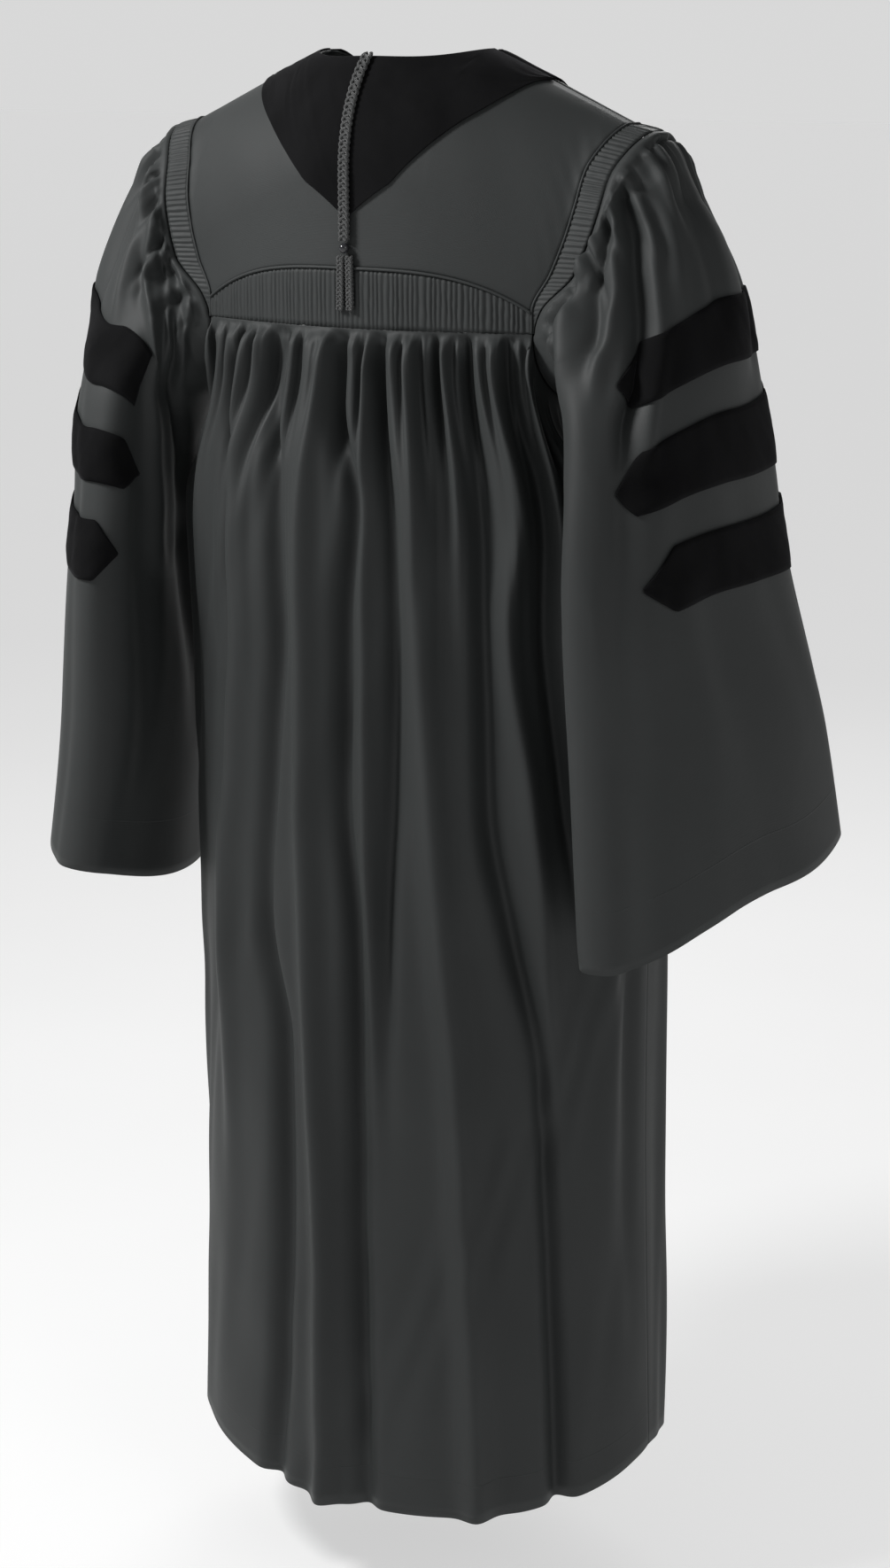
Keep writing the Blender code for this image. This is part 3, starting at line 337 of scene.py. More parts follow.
def shoulder_point(x, drop, side):
    """Point on the back or chest: drop 0 on the shoulder line, 1 where it hangs straight."""
    turn = min(drop, 1.0) * math.pi / 2
    y = side * depth_at(x, side) * math.sin(turn)
    z = ridge_z(x) - SHOULDER_FALL * (1.0 - math.cos(turn) + max(drop - 1.0, 0.0))
    return Vector((x, y, z))


def drop_at(x, z):
    """Drop of the point of the back or chest that lies at a height."""
    fall = (ridge_z(x) - z) / SHOULDER_FALL
    if fall > 1.0:
        return fall
    return math.acos(clamp(1.0 - fall, -1.0, 1.0)) / (math.pi / 2)


def armhole_x(z):
    """Half width of the body at the armhole seam."""
    return curve(ARMHOLE_LINE, z, 1)


ARMHOLE_TOP = ridge_z(SHOULDER_HALF)
ARMHOLE_MIDDLE = (ARMHOLE_TOP + ARMHOLE_FOOT) / 2
ARMHOLE_RADIUS = (ARMHOLE_TOP - ARMHOLE_FOOT) / 2


def station_angle(station):
    """Angle round the armhole from the shoulder point, towards the back."""
    return 2 * math.pi * station / ARMHOLE_STATIONS


def armhole_height(station):
    return ARMHOLE_MIDDLE + ARMHOLE_RADIUS * math.cos(station_angle(station))


def armhole_station(station):
    """Point of the left armhole seam at a station."""
    side = 1 if math.sin(station_angle(station)) >= 0 else -1
    z = armhole_height(station)
    corner_z = armhole_height(BAND_CORNER)
    if z >= corner_z - CLOSE:
        x = armhole_x(z) if station % ARMHOLE_STATIONS else SHOULDER_HALF
        return shoulder_point(x, drop_at(x, z), side)
    x = armhole_x(z)
    fall = (corner_z - z) / (corner_z - ARMHOLE_FOOT)
    corner_depth = depth_at(armhole_x(corner_z), side)
    return Vector((x, side * corner_depth * math.sqrt(max(1.0 - fall * fall, 0.0)), z))


def away_from_armhole(station):
    """Direction in which the left sleeve's cloth leaves the armhole seam."""
    angle = station_angle(station)
    return Vector((1.0, ARM_SPREAD * math.sin(angle), -ARM_FALL * math.cos(angle))).normalized()


def fluting_width(station):
    """Width of the fluted strip, which narrows where it ends beside the band."""
    away = min(station % ARMHOLE_STATIONS, -station % ARMHOLE_STATIONS)
    if away > BAND_CORNER:
        return 0.0
    t = ease((BAND_CORNER - away) / FLUTING_TAPER)
    return mix(FLUTING_TIP, FLUTING_WIDTH, t)


def mirrored(point, hand):
    """Left-hand point (hand 1) or its mirror on the wearer's right (hand -1)."""
    return Vector((hand * point[0], point[1], point[2]))


def yoke_seam_z(x):
    """Height of the seam under the yoke, arched up at the middle."""
    corner = armhole_height(YOKE_CORNER)
    reach = abs(x) / armhole_x(corner)
    return YOKE_SEAM_Z + (corner - YOKE_SEAM_Z) * reach ** YOKE_SEAM_BEND


def neck_drop(x):
    """Drop of the upper edge of the back: the neck opening, then the shoulder seam."""
    if abs(x) >= NECK_HALF:
        return 0.0
    y = NECK_BACK * math.sqrt(1.0 - (x / NECK_HALF) ** 2)
    return math.asin(y / depth_at(x, 1)) / (math.pi / 2)


def body_section(share, z, side):
    """Point of the level body section at a share of the way from its middle to its side."""
    angle = share * math.pi / 2
    width = curve(BODY, z, 1)
    depth = curve(BODY, z, 2)
    centre = curve(BODY, z, 3)
    return Vector((width * math.sin(angle), centre + side * depth * math.cos(angle), z))


def back_top(share):
    """Upper edge of the back skirt: under the band, then down the armhole to the underarm."""
    if share <= BAND_SHARE:
        corner = armhole_station(BAND_CORNER)
        x = corner.x * share / BAND_SHARE
        return Vector((x, depth_at(x, 1), corner.z))
    rest = (share - BAND_SHARE) / (1.0 - BAND_SHARE)
    return armhole_station(BAND_CORNER + rest * (UNDERARM - BAND_CORNER))


def hem_z(share, side):
    """Height of the hem, which dips at the middle of the back and the front."""
    middle = HEM_BACK_Z if side > 0 else HEM_FRONT_Z
    return mix(middle, HEM_SIDE_Z, share * share)


def back_base(share, z):
    """Back skirt without its folds, left half, at a share of the way to the side seam."""
    top = back_top(share)
    t = ease((top.z - z) / BODY_DROP_BACK)
    section = body_section(share, z, 1)
    return Vector((mix(top.x, section.x, t), mix(top.y, section.y, t), z))


def row_height(row, station):
    """Height of a sleeve row at a station, from its four heights round the sleeve."""
    angle = station_angle(station)
    across = row[0] if math.cos(angle) > 0 else row[2]
    along = row[1] if math.sin(angle) > 0 else row[3]
    return across * math.cos(angle) ** 2 + along * math.sin(angle) ** 2


def sleeve_head(station):
    """Upper edge of the left sleeve: outside the fluted strip, or at the seam below it."""
    start = armhole_station(station)
    return start + away_from_armhole(station) * (fluting_width(station) + HEAD_SEAM)


def sleeve_section(sections, station, z):
    """Point of a sleeve's level oval, left hand."""
    angle = station_angle(station)
    out = curve(sections, z, 3) * math.cos(angle)
    back = curve(sections, z, 4) * math.sin(angle)
    turn = math.radians(curve(sections, z, 5))
    x = curve(sections, z, 1) + out * math.cos(turn) - back * math.sin(turn)
    y = curve(sections, z, 2) + out * math.sin(turn) + back * math.cos(turn)
    return Vector((x, y, z))


def sleeve_base(hand, station, row):
    """Sleeve without folds, as on the left; rows 0 to 5 are the head, then the bars' rows."""
    sections = SLEEVE_LEFT if hand > 0 else SLEEVE_RIGHT
    hem = SLEEVE_HEM_LEFT if hand > 0 else SLEEVE_HEM_RIGHT
    head = sleeve_head(station)
    bars = len(SLEEVE_HEAD_ROWS)
    lower = bars + len(BAR_ROWS)

    def height(i):
        if i < bars:
            bottom = row_height(BAR_ROWS[0], station)
            return mix(head.z, bottom, SLEEVE_HEAD_ROWS[i])
        if i < lower:
            return row_height(BAR_ROWS[i - bars], station)
        start = row_height(BAR_ROWS[-1], station)
        return mix(start, row_height(hem, station), SLEEVE_LOWER_ROWS[i - lower])

    def share(i):
        return SLEEVE_HEAD_ROWS[i] if i < bars else 1.0

    low = min(int(row), lower + len(SLEEVE_LOWER_ROWS) - 2)
    rest = row - low
    z = mix(height(low), height(low + 1), rest)
    f = mix(share(low), share(low + 1), rest)
    section = sleeve_section(sections, station, z)
    swell = math.sqrt(f * (2.0 - f))
    return Vector((mix(head.x, section.x, swell), mix(head.y, section.y, swell), z))


def neckline_z(x):
    """Height of the front neckline."""
    reach = min(x / NECK_HALF, 1.0)
    return mix(NECK_FRONT_Z, ridge_z(NECK_HALF), reach ** NECKLINE_BEND)


def across(share, edge_share):
    """Part of the way from the velvet's edge to the armhole, whose share is known."""
    start = VELVET_SHARE ** 2
    return (share ** 2 - start) / (edge_share ** 2 - start)


def front_top(share):
    """Upper edge of the left front: neckline, shoulder seam, then the armhole."""
    velvet_x = FACING_LINE[-1][1]
    if share <= NECK_SHARE:
        x = NECK_HALF * share / NECK_SHARE
        return shoulder_point(x, drop_at(x, neckline_z(x)), -1)
    if share <= VELVET_SHARE:
        x = mix(NECK_HALF, velvet_x, (share - NECK_SHARE) / (VELVET_SHARE - NECK_SHARE))
        return shoulder_point(x, 0.0, -1)
    if share <= SHOULDER_SHARE:
        x = mix(velvet_x, SHOULDER_HALF, across(share, SHOULDER_SHARE))
        return shoulder_point(x, 0.0, -1)
    rest = (share - SHOULDER_SHARE) / (1.0 - SHOULDER_SHARE)
    return armhole_station(-rest * UNDERARM)


def front_base(share, z):
    """Left front without folds, at a share of the way from its middle edge."""
    top = front_top(share)
    edge = curve(FACING_LINE, z, 1)
    if share <= VELVET_SHARE:
        start = top.x / curve(FACING_LINE, top.z, 1)
        even = math.sin(share * math.pi / 2) / math.sin(VELVET_SHARE * math.pi / 2)
        x = edge * mix(start, even, ease((top.z - z) / FACING_SPREAD))
    else:
        angle = math.acos(clamp((z - ARMHOLE_MIDDLE) / ARMHOLE_RADIUS, -1.0, 1.0))
        armhole_share = mix(SHOULDER_SHARE, 1.0, angle / math.pi)
        x = mix(edge, armhole_x(z), across(share, armhole_share))
        if share <= SHOULDER_SHARE:
            x = mix(top.x, x, ease((top.z - z) / SHOULDER_SPREAD))
    if top.z > armhole_height(BAND_CORNER) - CLOSE:
        y = shoulder_point(x, drop_at(x, min(z, top.z)), -1).y
    else:
        y = top.y
    section = body_section(share, z, -1)
    outer = ease((share - VELVET_SHARE) / (OUTER_SHARE - VELVET_SHARE))
    fall = mix(BODY_DROP_FRONT, BODY_DROP_BACK, outer)
    start_z = min(top.z, mix(CHEST_Z, armhole_height(BAND_CORNER), outer))
    t = ease((start_z - z) / fall)
    return Vector((mix(x, section.x, t), mix(y, section.y, t), z))


# Finer detail than the solids have
FLUTE_PITCH = 0.005
FLUTE_HIGH = 0.0013
NORMAL_LEVEL = 0.3          # how much of a normal's height is kept where folds stay upright
BAND_COLUMNS = 641
STRIP_COLUMNS = 621
FRONT_COLUMNS = 118
FACING_COLUMNS = 42
FRONT_ROWS = 122
SKIRT_COLUMNS = 303
SKIRT_ROWS = 138
YOKE_ROWS = 73
VELVET_ROWS = 90
SLEEVE_COLUMNS = 240
PIPING_STEPS = 160
STRANDS = 3                 # in every plait
BEAD_SIDES = 40
GATHER_RISE = 0.007         # rounded gathers under the band
PLEAT_RISE = 0.0014         # fine pleats between them
CREASE_RISE = 0.0007        # creases below them
SWAY_RISE = 0.0009          # slow unevenness of the long cloths
HEAD_PLEAT_RISE = 0.0013    # the same on the sleeves
HEAD_GATHER_RISE = 0.0046
SLEEVE_SWAY_RISE = 0.001
BACK_FADES = (0.34, 0.05)   # height in which long folds die out at their low and high ends
FRONT_FADES = (0.34, 0.06)
SLEEVE_FADES = (0.9, 1.8)   # rows in which they do at their high and low ends
HANDS = ((1, "left"), (-1, "right"))


def folds_of(levels, places, table):
    """Long folds from whole numbers: rise in 0.1 mm, half width, then level and place in turn."""
    return [(rise / 10000, width / places,
             [(path[i] / levels, path[i + 1] / places) for i in range(0, len(path), 2)])
            for rise, width, *path in table]


# Folds of the body, with the levels in cm below the shoulder line, the rest in 0.001 of its share
BACK_LONG_FOLDS = folds_of(-100, 1000, (
    (78, 34, 21, 600, 27, 650, 37, 600, 60, 610),
    (-104, 28, 21, 560, 27, 598, 37, 690, 62, 720),
    (78, 36, 21, 520, 27, 517, 37, 540, 50, 552, 72, 560),
    (-130, 30, 21, 400, 27, 450, 37, 390, 48, 385, 66, 430),
    (143, 48, 20, 370, 27, 382, 37, 329, 48, 316, 65, 360, 78, 423, 115, 430),
    (-156, 32, 20, 260, 27, 272, 37, 195, 48, 186, 65, 225, 78, 262, 91, 190, 110, 178, 160, 245),
    (78, 20, 20, 170, 27, 179, 37, 140, 47, 110),
    (182, 36, 20, 90, 27, 85, 37, 84, 48, 81, 65, 88, 78, 80, 91, 66, 110, 38, 170, 22),
    (-169, 30, 20, 30, 27, 30, 37, -50, 48, -23, 65, -14, 78, -40, 110, -57, 160, -95),
    (104, 22, 21, -50, 27, -81, 37, -83, 65, -86, 78, -92, 102, -110),
    (-137, 26, 20, -110, 27, -119, 37, -151, 48, -158, 65, -147, 78, -132, 105, -150),
    (156, 42, 20, -190, 27, -205, 37, -215, 48, -228, 65, -255, 78, -283, 91, -322, 110, -353,
     170, -410),
    (-111, 24, 20, -300, 27, -302, 37, -289, 56, -300),
    (91, 26, 21, -350, 27, -354, 37, -337, 56, -340),
    (-156, 32, 20, -400, 27, -403, 37, -390, 48, -397, 65, -405, 78, -474, 91, -561, 110,
     -594, 170, -640),
    (143, 40, 20, -490, 27, -480, 37, -498, 48, -455, 65, -520, 78, -564, 105, -600),
    (-130, 28, 20, -550, 27, -552, 37, -576, 48, -565, 65, -625, 78, -685, 95, -710),
    (104, 30, 21, -600, 37, -612, 48, -612, 65, -673, 90, -690),
    (-104, 30, 23, -660, 37, -678, 48, -699, 70, -740),
    (78, 50, 30, 800, 60, 780, 120, 760),
    (-78, 45, 35, 900, 70, 880, 130, 870),
    (78, 50, 30, -800, 60, -800, 120, -800),
    (-65, 45, 40, -900, 80, -900, 130, -890),
))
FRONT_LONG_FOLDS = folds_of(-100, 1000, (
    (-80, 30, 6, 430, 40, 405, 80, 400, 115, 410),
    (100, 42, 5, 500, 40, 480, 90, 480, 160, 470),
    (-95, 34, 10, 580, 45, 560, 90, 565, 135, 550),
    (100, 46, 14, 665, 50, 650, 100, 640, 160, 640),
    (-85, 38, 20, 750, 60, 735, 120, 730, 160, 720),
    (75, 46, 24, 840, 70, 825, 150, 820),
    (-40, 22, 10, 470, 22, 440, 36, 425),
    (35, 20, 12, 700, 20, 640, 34, 600),
))

# Folds of the sleeves, with the levels in 0.1 of a row and the rest in 0.01 of a station
RIGHT_SLEEVE_FOLDS = folds_of(10, 100, (
    (-60, 80, 20, 140, 40, 150, 65, 140),
    (55, 75, 12, 260, 26, 330, 38, 400, 55, 430),
    (-60, 55, 8, 480, 22, 450, 30, 430, 42, 460),
    (70, 60, 14, 450, 28, 480, 37, 550, 45, 580, 70, 570, 95, 560),
    (-150, 80, 6, 550, 15, 575, 25, 580, 30, 625, 39, 675, 52, 700, 65, 710, 73, 750, 86, 730),
    (-62, 150, 60, 720, 92, 720, 112, 730, 132, 760, 175, 840),
    (-130, 260, -3, 0, 12, 0, 38, 0),
    (75, 60, 5, 600, 12, 625, 25, 725, 32, 775, 38, 850, 45, 900, 53, 975, 70, 1020),
    (-70, 55, 6, 700, 15, 725, 22, 800, 26, 900, 42, 1000, 60, 1100),
    (80, 95, 3, 900, 8, 925, 18, 1000, 25, 1075, 35, 1150, 50, 1220, 65, 1320, 85, 1350, 110,
     1440, 140, 1460),
    (-60, 60, 8, 1060, 20, 1130, 24, 1240, 40, 1340),
    (45, 55, 3, 1140, 8, 1180, 20, 1290, 32, 1380),
    (50, 130, 90, 500, 118, 500, 155, 510, 180, 520),
    (40, 120, 115, 300, 135, 320, 175, 330),
    (-60, 90, 10, -260, 40, -290, 80, -300),
    (-100, 90, 5, -480, 30, -530, 70, -600, 120, -680, 175, -720),
    (75, 90, 5, -740, 30, -820, 60, -940, 100, -1060, 130, -1100),
    (-70, 80, 5, -1000, 30, -1120, 70, -1260, 120, -1360, 160, -1400),
    (50, 90, 10, -1300, 40, -1460, 90, -1580, 140, -1640),
    (-60, 110, 20, 1750, 60, 1700, 120, 1760, 175, 1780),
    (50, 120, 30, 2050, 80, 2000, 160, 2040),
    (170, 170, 16, 1260, 40, 1180, 80, 1180, 130, 1200, 175, 1220),
))
LEFT_SLEEVE_FOLDS = folds_of(10, 100, (
    (-130, 260, -3, 30, 12, 20, 38, 0),
    (-50, 90, 10, 90, 40, 80, 75, 60),
    (50, 75, 8, 240, 24, 300, 45, 360, 65, 380),
    (-55, 60, 6, 390, 22, 460, 40, 540, 56, 590),
    (65, 70, 5, 520, 12, 575, 23, 700, 36, 820, 54, 940),
    (-60, 60, 5, 660, 14, 750, 26, 900, 44, 1100),
    (80, 80, 5, 740, 18, 820, 23, 900, 28, 1025, 33, 1150, 50, 1400, 68, 1540, 80, 1580, 110,
     1640, 135, 1680),
    (-55, 60, 4, 830, 13, 940, 22, 1100, 32, 1300, 46, 1480),
    (-95, 80, 3, 1020, 13, 1120, 23, 1250, 30, 1500, 55, 1780, 72, 1860, 110, 1940, 150, 1960),
    (45, 60, 4, 1160, 14, 1300, 26, 1540, 40, 1720),
    (40, 100, 90, 1340, 112, 1350, 128, 1380, 165, 1380),
    (35, 110, 110, 1040, 135, 1060, 175, 1080),
    (-22, 100, 60, 720, 90, 740, 130, 780, 175, 800),
    (110, 180, 16, 1320, 40, 1240, 80, 1220, 130, 1240, 175, 1240),
    (-60, 90, 10, -240, 40, -280, 80, -300),
    (-90, 90, 5, -440, 30, -500, 70, -580, 120, -640, 175, -680),
    (70, 90, 5, -700, 30, -780, 60, -900, 100, -1000, 130, -1060),
    (-70, 80, 5, -980, 30, -1100, 70, -1240, 120, -1340, 160, -1380),
    (50, 90, 10, -1280, 40, -1440, 90, -1560, 140, -1620),
))


def soft_step(values):
    """Soft step from 0 to 1 over an array."""
    t = np.clip(values, 0.0, 1.0)
    return t * t * (3.0 - 2.0 * t)


def path_values(path, levels):
    """Places of a fold at many levels, along a smooth line through its points."""
    rows = sorted(path)
    dense = np.linspace(rows[0][0], rows[-1][0], 120)
    places = [curve(rows, level, 1) for level in dense]
    return np.interp(levels, dense, places)


def fold_field(folds, places, levels, fades, period=None):
    """Sum of long folds over a grid of places and levels, faded at their low and high ends."""
    total = np.zeros_like(places)
    for rise, width, path in folds:
        first = min(path[0][0], path[-1][0])
        last = max(path[0][0], path[-1][0])
        away = places - path_values(path, levels)
        if period:
            away = (away + period / 2) % period - period / 2
        ends = soft_step((levels - first) / fades[0]) * soft_step((last - levels) / fades[1])
        total += rise * ends * np.exp(-(away / width) ** 2)
    return total


def rolls(phase, sharp=0.23):
    """Rounded rolls of cloth with narrow troughs between them, one for each whole phase."""
    t = phase - np.floor(phase)
    valley = np.exp(-((t - 0.5) / sharp) ** 2)
    return 1.0 - 2.0 * valley


def wander(values, seed):
    """Slow uneven wave, the same each run."""
    total = np.sin(values * 1.7 + seed) + np.sin(values * 3.1 + seed * 2.3)
    return (total + np.sin(values * 5.3 + seed * 0.7)) / 3.0


def unit(vectors):
    return vectors / np.maximum(np.linalg.norm(vectors, axis=-1, keepdims=True), TINY)


def normals_of(points, wrap=False):
    """Outward directions over an array of rows of points."""
    across_rows = np.gradient(points, axis=1)
    if wrap:
        across_rows = np.roll(points, -1, axis=1) - np.roll(points, 1, axis=1)
    return unit(np.cross(np.gradient(points, axis=0), across_rows))


def level_normals(points, wrap=False):
    """Outward directions kept level, so that folds stay upright."""
    return unit(normals_of(points, wrap) * (1.0, 1.0, NORMAL_LEVEL))


def quads_of(grid):
    """Corners of the faces between a grid's rows and columns."""
    return np.stack([grid[:-1, :-1], grid[1:, :-1], grid[1:, 1:], grid[:-1, 1:]], axis=2)


def new_mesh(name, verts, faces, uvs):
    mesh = bpy.data.meshes.new(name)
    mesh.from_pydata(verts, [], faces)
    mesh.uv_layers.new(name="cloth").data.foreach_set("uv", np.ravel(uvs))
    mesh.shade_smooth()
    mesh.update()
    return mesh


def sheet_mesh(name, points, sizes, wrap=False):
    """Mesh through an array of rows of points, with its cloth's own coordinates in metres."""
    rows, columns = points.shape[:2]
    index = np.arange(rows * columns).reshape(rows, columns)
    if wrap:
        index = np.hstack([index, index[:, :1]])
    uv = np.meshgrid(np.linspace(0.0, sizes[0], index.shape[1]), np.linspace(sizes[1], 0.0, rows))
    return new_mesh(name, points.reshape(-1, 3).tolist(), quads_of(index).reshape(-1, 4).tolist(),
                    quads_of(np.stack(uv, axis=2)))


def place_object(name, data):
    """New object in the scene."""
    thing = bpy.data.objects.new(name, data)
    bpy.context.scene.collection.objects.link(thing)
    return thing


def add_piece(name, mesh, stuff, *nodes):
    """Put a mesh into the scene as one piece with a stuff's material; a stuff holds material, slot
    and thickness.
    """
    mesh.materials.append(stuff[0])
    piece = place_object(name, mesh)
    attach(piece, "root")
    if nodes:
        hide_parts(*nodes)
    return piece


def add_sheet(name, points, sizes, stuff, nodes, wrap=False):
    """Thin shell of cloth, with its UVs in metres from the size of its cut."""
    mesh = sheet_mesh(name, points, sizes, wrap)
    piece = add_piece(name, mesh, stuff, *nodes)
    wall = piece.modifiers.new("cloth thickness", "SOLIDIFY")
    wall.thickness = stuff[2]
    wall.offset = -1.0
    wall.use_even_offset = False


# Materials
class Nodes:
    """Small helper to wire the nodes of a material or of the world."""

    def __init__(self, owner):
        self.owner = owner
        owner.use_nodes = True
        self.tree = owner.node_tree

    def feed(self, node, inputs):
        """Link or set a node's inputs."""
        for key, value in inputs.items():
            if hasattr(value, "links"):
                self.tree.links.new(value, node.inputs[key])
            else:
                node.inputs[key].default_value = value

    def add(self, kind, output, inputs=None, **settings):
        """Add a node and hand back one of its outputs."""
        node = self.tree.nodes.new("ShaderNode" + kind)
        for key, value in settings.items():
            setattr(node, key, value)
        self.feed(node, inputs or {})
        return node.outputs[output]

    def scaled(self, vector, *scale):
        return self.add("Mapping", "Vector", {"Vector": vector, "Scale": scale})

    def noise(self, vector, scale, detail=3.0, roughness=0.5):
        return self.add("TexNoise", "Fac", {"Vector": vector, "Scale": scale, "Detail": detail,
                                            "Roughness": roughness})

    def wave(self, vector, scale, direction, distortion=0.0):
        inputs = {"Vector": vector, "Scale": scale, "Distortion": distortion}
        return self.add("TexWave", "Fac", inputs, bands_direction=direction)

    def math(self, kind, *values):
        return self.add("Math", "Value", dict(enumerate(values)), operation=kind)

    def line(self, coordinate, place, half):
        """Soft line where a coordinate passes a place: 1 on the line, 0 away from it."""
        away = self.math("ABSOLUTE", self.math("SUBTRACT", coordinate, place))
        near = self.math("MINIMUM", self.math("DIVIDE", away, half), 1.0)
        return self.math("SUBTRACT", 1.0, near)

    def ramp(self, factor, low, high, start=0.3, end=0.7):
        colour = self.add("ValToRGB", "Color", {"Fac": factor})
        elements = colour.node.color_ramp.elements
        for element, place, value in ((elements[0], start, low), (elements[1], end, high)):
            element.position = place
            element.color = (*value, 1.0)
        return colour

    def span(self, factor, low, high):
        return self.add("MapRange", "Result", {"Value": factor, "To Min": low, "To Max": high})

    def bumps(self, *rows):
        """Bumps over one another, each with its height, strength and distance."""
        inputs = {}
        for height, strength, distance in rows:
            inputs.update({"Height": height, "Strength": strength, "Distance": distance})
            inputs["Normal"] = self.add("Bump", "Normal", inputs)
        return inputs["Normal"]

    def shade(self, **inputs):
        """Finish a material with the inputs of its shader."""
        named = {key.replace("_", " "): (*value, 1.0) if isinstance(value, tuple) else value
                 for key, value in inputs.items()}
        self.feed(self.tree.nodes["Principled BSDF"], named)
        return self.owner


def start_material(name):
    """Nodes of a new material, its place on the object and on the cloth."""
    n = Nodes(bpy.data.materials.new(name))
    return n, n.add("TexCoord", "Object"), n.add("TexCoord", "UV")


def cloth_material(name, hem=0.0):
    """Charcoal polyester with a fine weave, and a stitched hem where it has one."""
    n, place, cloth = start_material(name)
    patches = n.noise(place, 3.2, 4.0)
    weave = n.math("ADD", n.wave(cloth, WEAVE, "X"), n.wave(cloth, WEAVE, "Y"))
    slubs = n.noise(n.scaled(cloth, 60.0, 900.0, 1.0), 1.0, 2.0)
    crumple = n.noise(place, 26.0, 3.0, 0.55)
    bumps = [(crumple, 0.12, 0.003), (slubs, 0.08, 0.0006), (weave, 0.12, 0.0003)]
    if hem:
        across, down = (n.add("SeparateXYZ", axis, {"Vector": cloth}) for axis in "XY")
        dashes = n.math("FRACT", n.math("MULTIPLY", across, STITCHES))
        stitches = n.math("GREATER_THAN", dashes, STITCH_GAP)
        line = n.math("MULTIPLY", n.line(down, hem - 0.0015, 0.0006), stitches)
        bumps += [(n.line(down, hem, 0.0022), -0.35, 0.0016), (line, 0.5, 0.0006)]
    return n.shade(Base_Color=n.ramp(patches, CLOTH_DARK, CLOTH_LIGHT), Normal=n.bumps(*bumps),
                   Roughness=n.span(n.noise(place, 9.0), 0.58, 0.68), Specular_IOR_Level=0.3,
                   Sheen_Weight=0.06, Sheen_Roughness=0.45, Sheen_Tint=(0.6, 0.64, 0.62))


def velvet_material():
    """Deep black velvet with a brushed nap."""
    n, place, _ = start_material("velvet")
    brushed = n.noise(n.scaled(place, 1.0, 1.0, 0.45), 22.0, 4.0)
    soft, pile = n.noise(place, 60.0), n.noise(place, 1500.0, 2.0)
    return n.shade(Base_Color=n.ramp(brushed, VELVET_DARK, VELVET_LIGHT, 0.35, 0.75),
                   Normal=n.bumps((soft, 0.25, 0.0012), (pile, 0.5, 0.0006)),
                   Roughness=n.span(brushed, 0.88, 1.0), Specular_IOR_Level=0.06,
                   Sheen_Weight=0.05, Sheen_Roughness=0.32, Sheen_Tint=(0.45, 0.45, 0.5))


def cord_material():
    """Twisted rayon yarn, with painted shade in the grooves of its twist and painted highlight on
    its ridges, over random fibre grain.
    """
    n, place, cloth = start_material("cord yarn")
    twist = n.wave(cloth, 420.0, "DIAGONAL", 0.6)
    fibres = n.noise(n.scaled(cloth, 3000.0, 500.0, 1.0), 1.0, 2.0)
    # Painted shade and highlight: the colour follows the twist wave that also makes the bump, dark
    # in its grooves and light on its ridges, with random fibre grain on top
    colour = n.ramp(n.math("MULTIPLY", twist, fibres), CORD_SHADE_AND_GRAIN_DARK, CORD_HIGHLIGHT_AND_GRAIN_LIGHT, 0.05, 0.55)
    return n.shade(Base_Color=colour, Roughness=n.span(n.noise(place, 200.0), 0.42, 0.62),
                   Normal=n.bumps((twist, 0.6, 0.0007), (fibres, 0.3, 0.0003)),
                   Specular_IOR_Level=0.4, Sheen_Weight=0.2, Sheen_Roughness=0.4)


def bead_material():
    """Polished dark bead with faint scratches."""
    n, place, _ = start_material("bead")
    cloud = n.noise(place, 300.0)
    scratch = n.noise(n.scaled(place, 900.0, 900.0, 3000.0), 1.0, 2.0)
    return n.shade(Base_Color=n.ramp(cloud, BEAD_DARK, BEAD_LIGHT), Coat_Weight=0.4,
                   Roughness=n.span(cloud, 0.12, 0.24), Normal=n.bumps((scratch, 0.05, 0.0002)))


def tape_material(name, light):
    """Woven zip tape, or the moulded teeth on it."""
    n, place, cloth = start_material(name)
    rib = n.wave(cloth, 500.0, "Y")
    grain = n.noise(place, 400.0, 2.0)
    return n.shade(Base_Color=n.ramp(grain, (light * 0.7,) * 3, (light * 1.25,) * 3),
                   Roughness=n.span(grain, 0.45, 0.75), Normal=n.bumps((rib, 0.3, 0.0003)))


def floor_material():
    """Plain pale studio floor."""
    n, place, _ = start_material("studio floor")
    grain = n.noise(place, 1.5)
    return n.shade(Base_Color=n.ramp(grain, (0.49,) * 3, (0.52,) * 3),
                   Roughness=n.span(grain, 0.7, 0.9), Specular_IOR_Level=0.1,
                   Emission_Color=(1.0, 1.0, 1.0), Emission_Strength=FLOOR_GLOW)


# Arrays of the gown's surfaces
def fill(function, columns, rows):
    """Array of rows of points from a function of a column and a row."""
    return np.array([[tuple(function(c, r)) for c in columns] for r in rows])


def mirror_array(points, hand):
    """Left-hand array, or its mirror image turned round to face out."""
    if hand > 0:
        return points
    return points[:, ::-1] * np.array((-1.0, 1.0, 1.0))


def rise_out(points, rises, out):
    """Move each point out by its own rise."""
    return points + out * rises[:, :, None]


def along_length(points):
    """Length along a line of points, up to each one."""
    steps = np.linalg.norm(np.diff(points, axis=0), axis=1)
    return np.concatenate([[0.0], np.cumsum(steps)])


def seam_drop(x):
    """Drop of the back's edge along the shoulder seam."""
    return 2 / math.pi * math.asin(SHOULDER_SEAM / depth_at(x, 1))


def yoke_point(reach, station):
    side = armhole_station(station)
    corner = armhole_station(YOKE_CORNER)
    start = neck_drop(reach * SHOULDER_HALF)
    corner_x = reach * corner.x
    end = drop_at(corner_x, yoke_seam_z(corner_x))
    side_drop = drop_at(side.x, side.z) if station > 0 else 0.0
    drop = mix(start, end, side_drop / drop_at(corner.x, corner.z))
    x = reach * side.x
    return shoulder_point(x, max(drop, seam_drop(x)), 1)


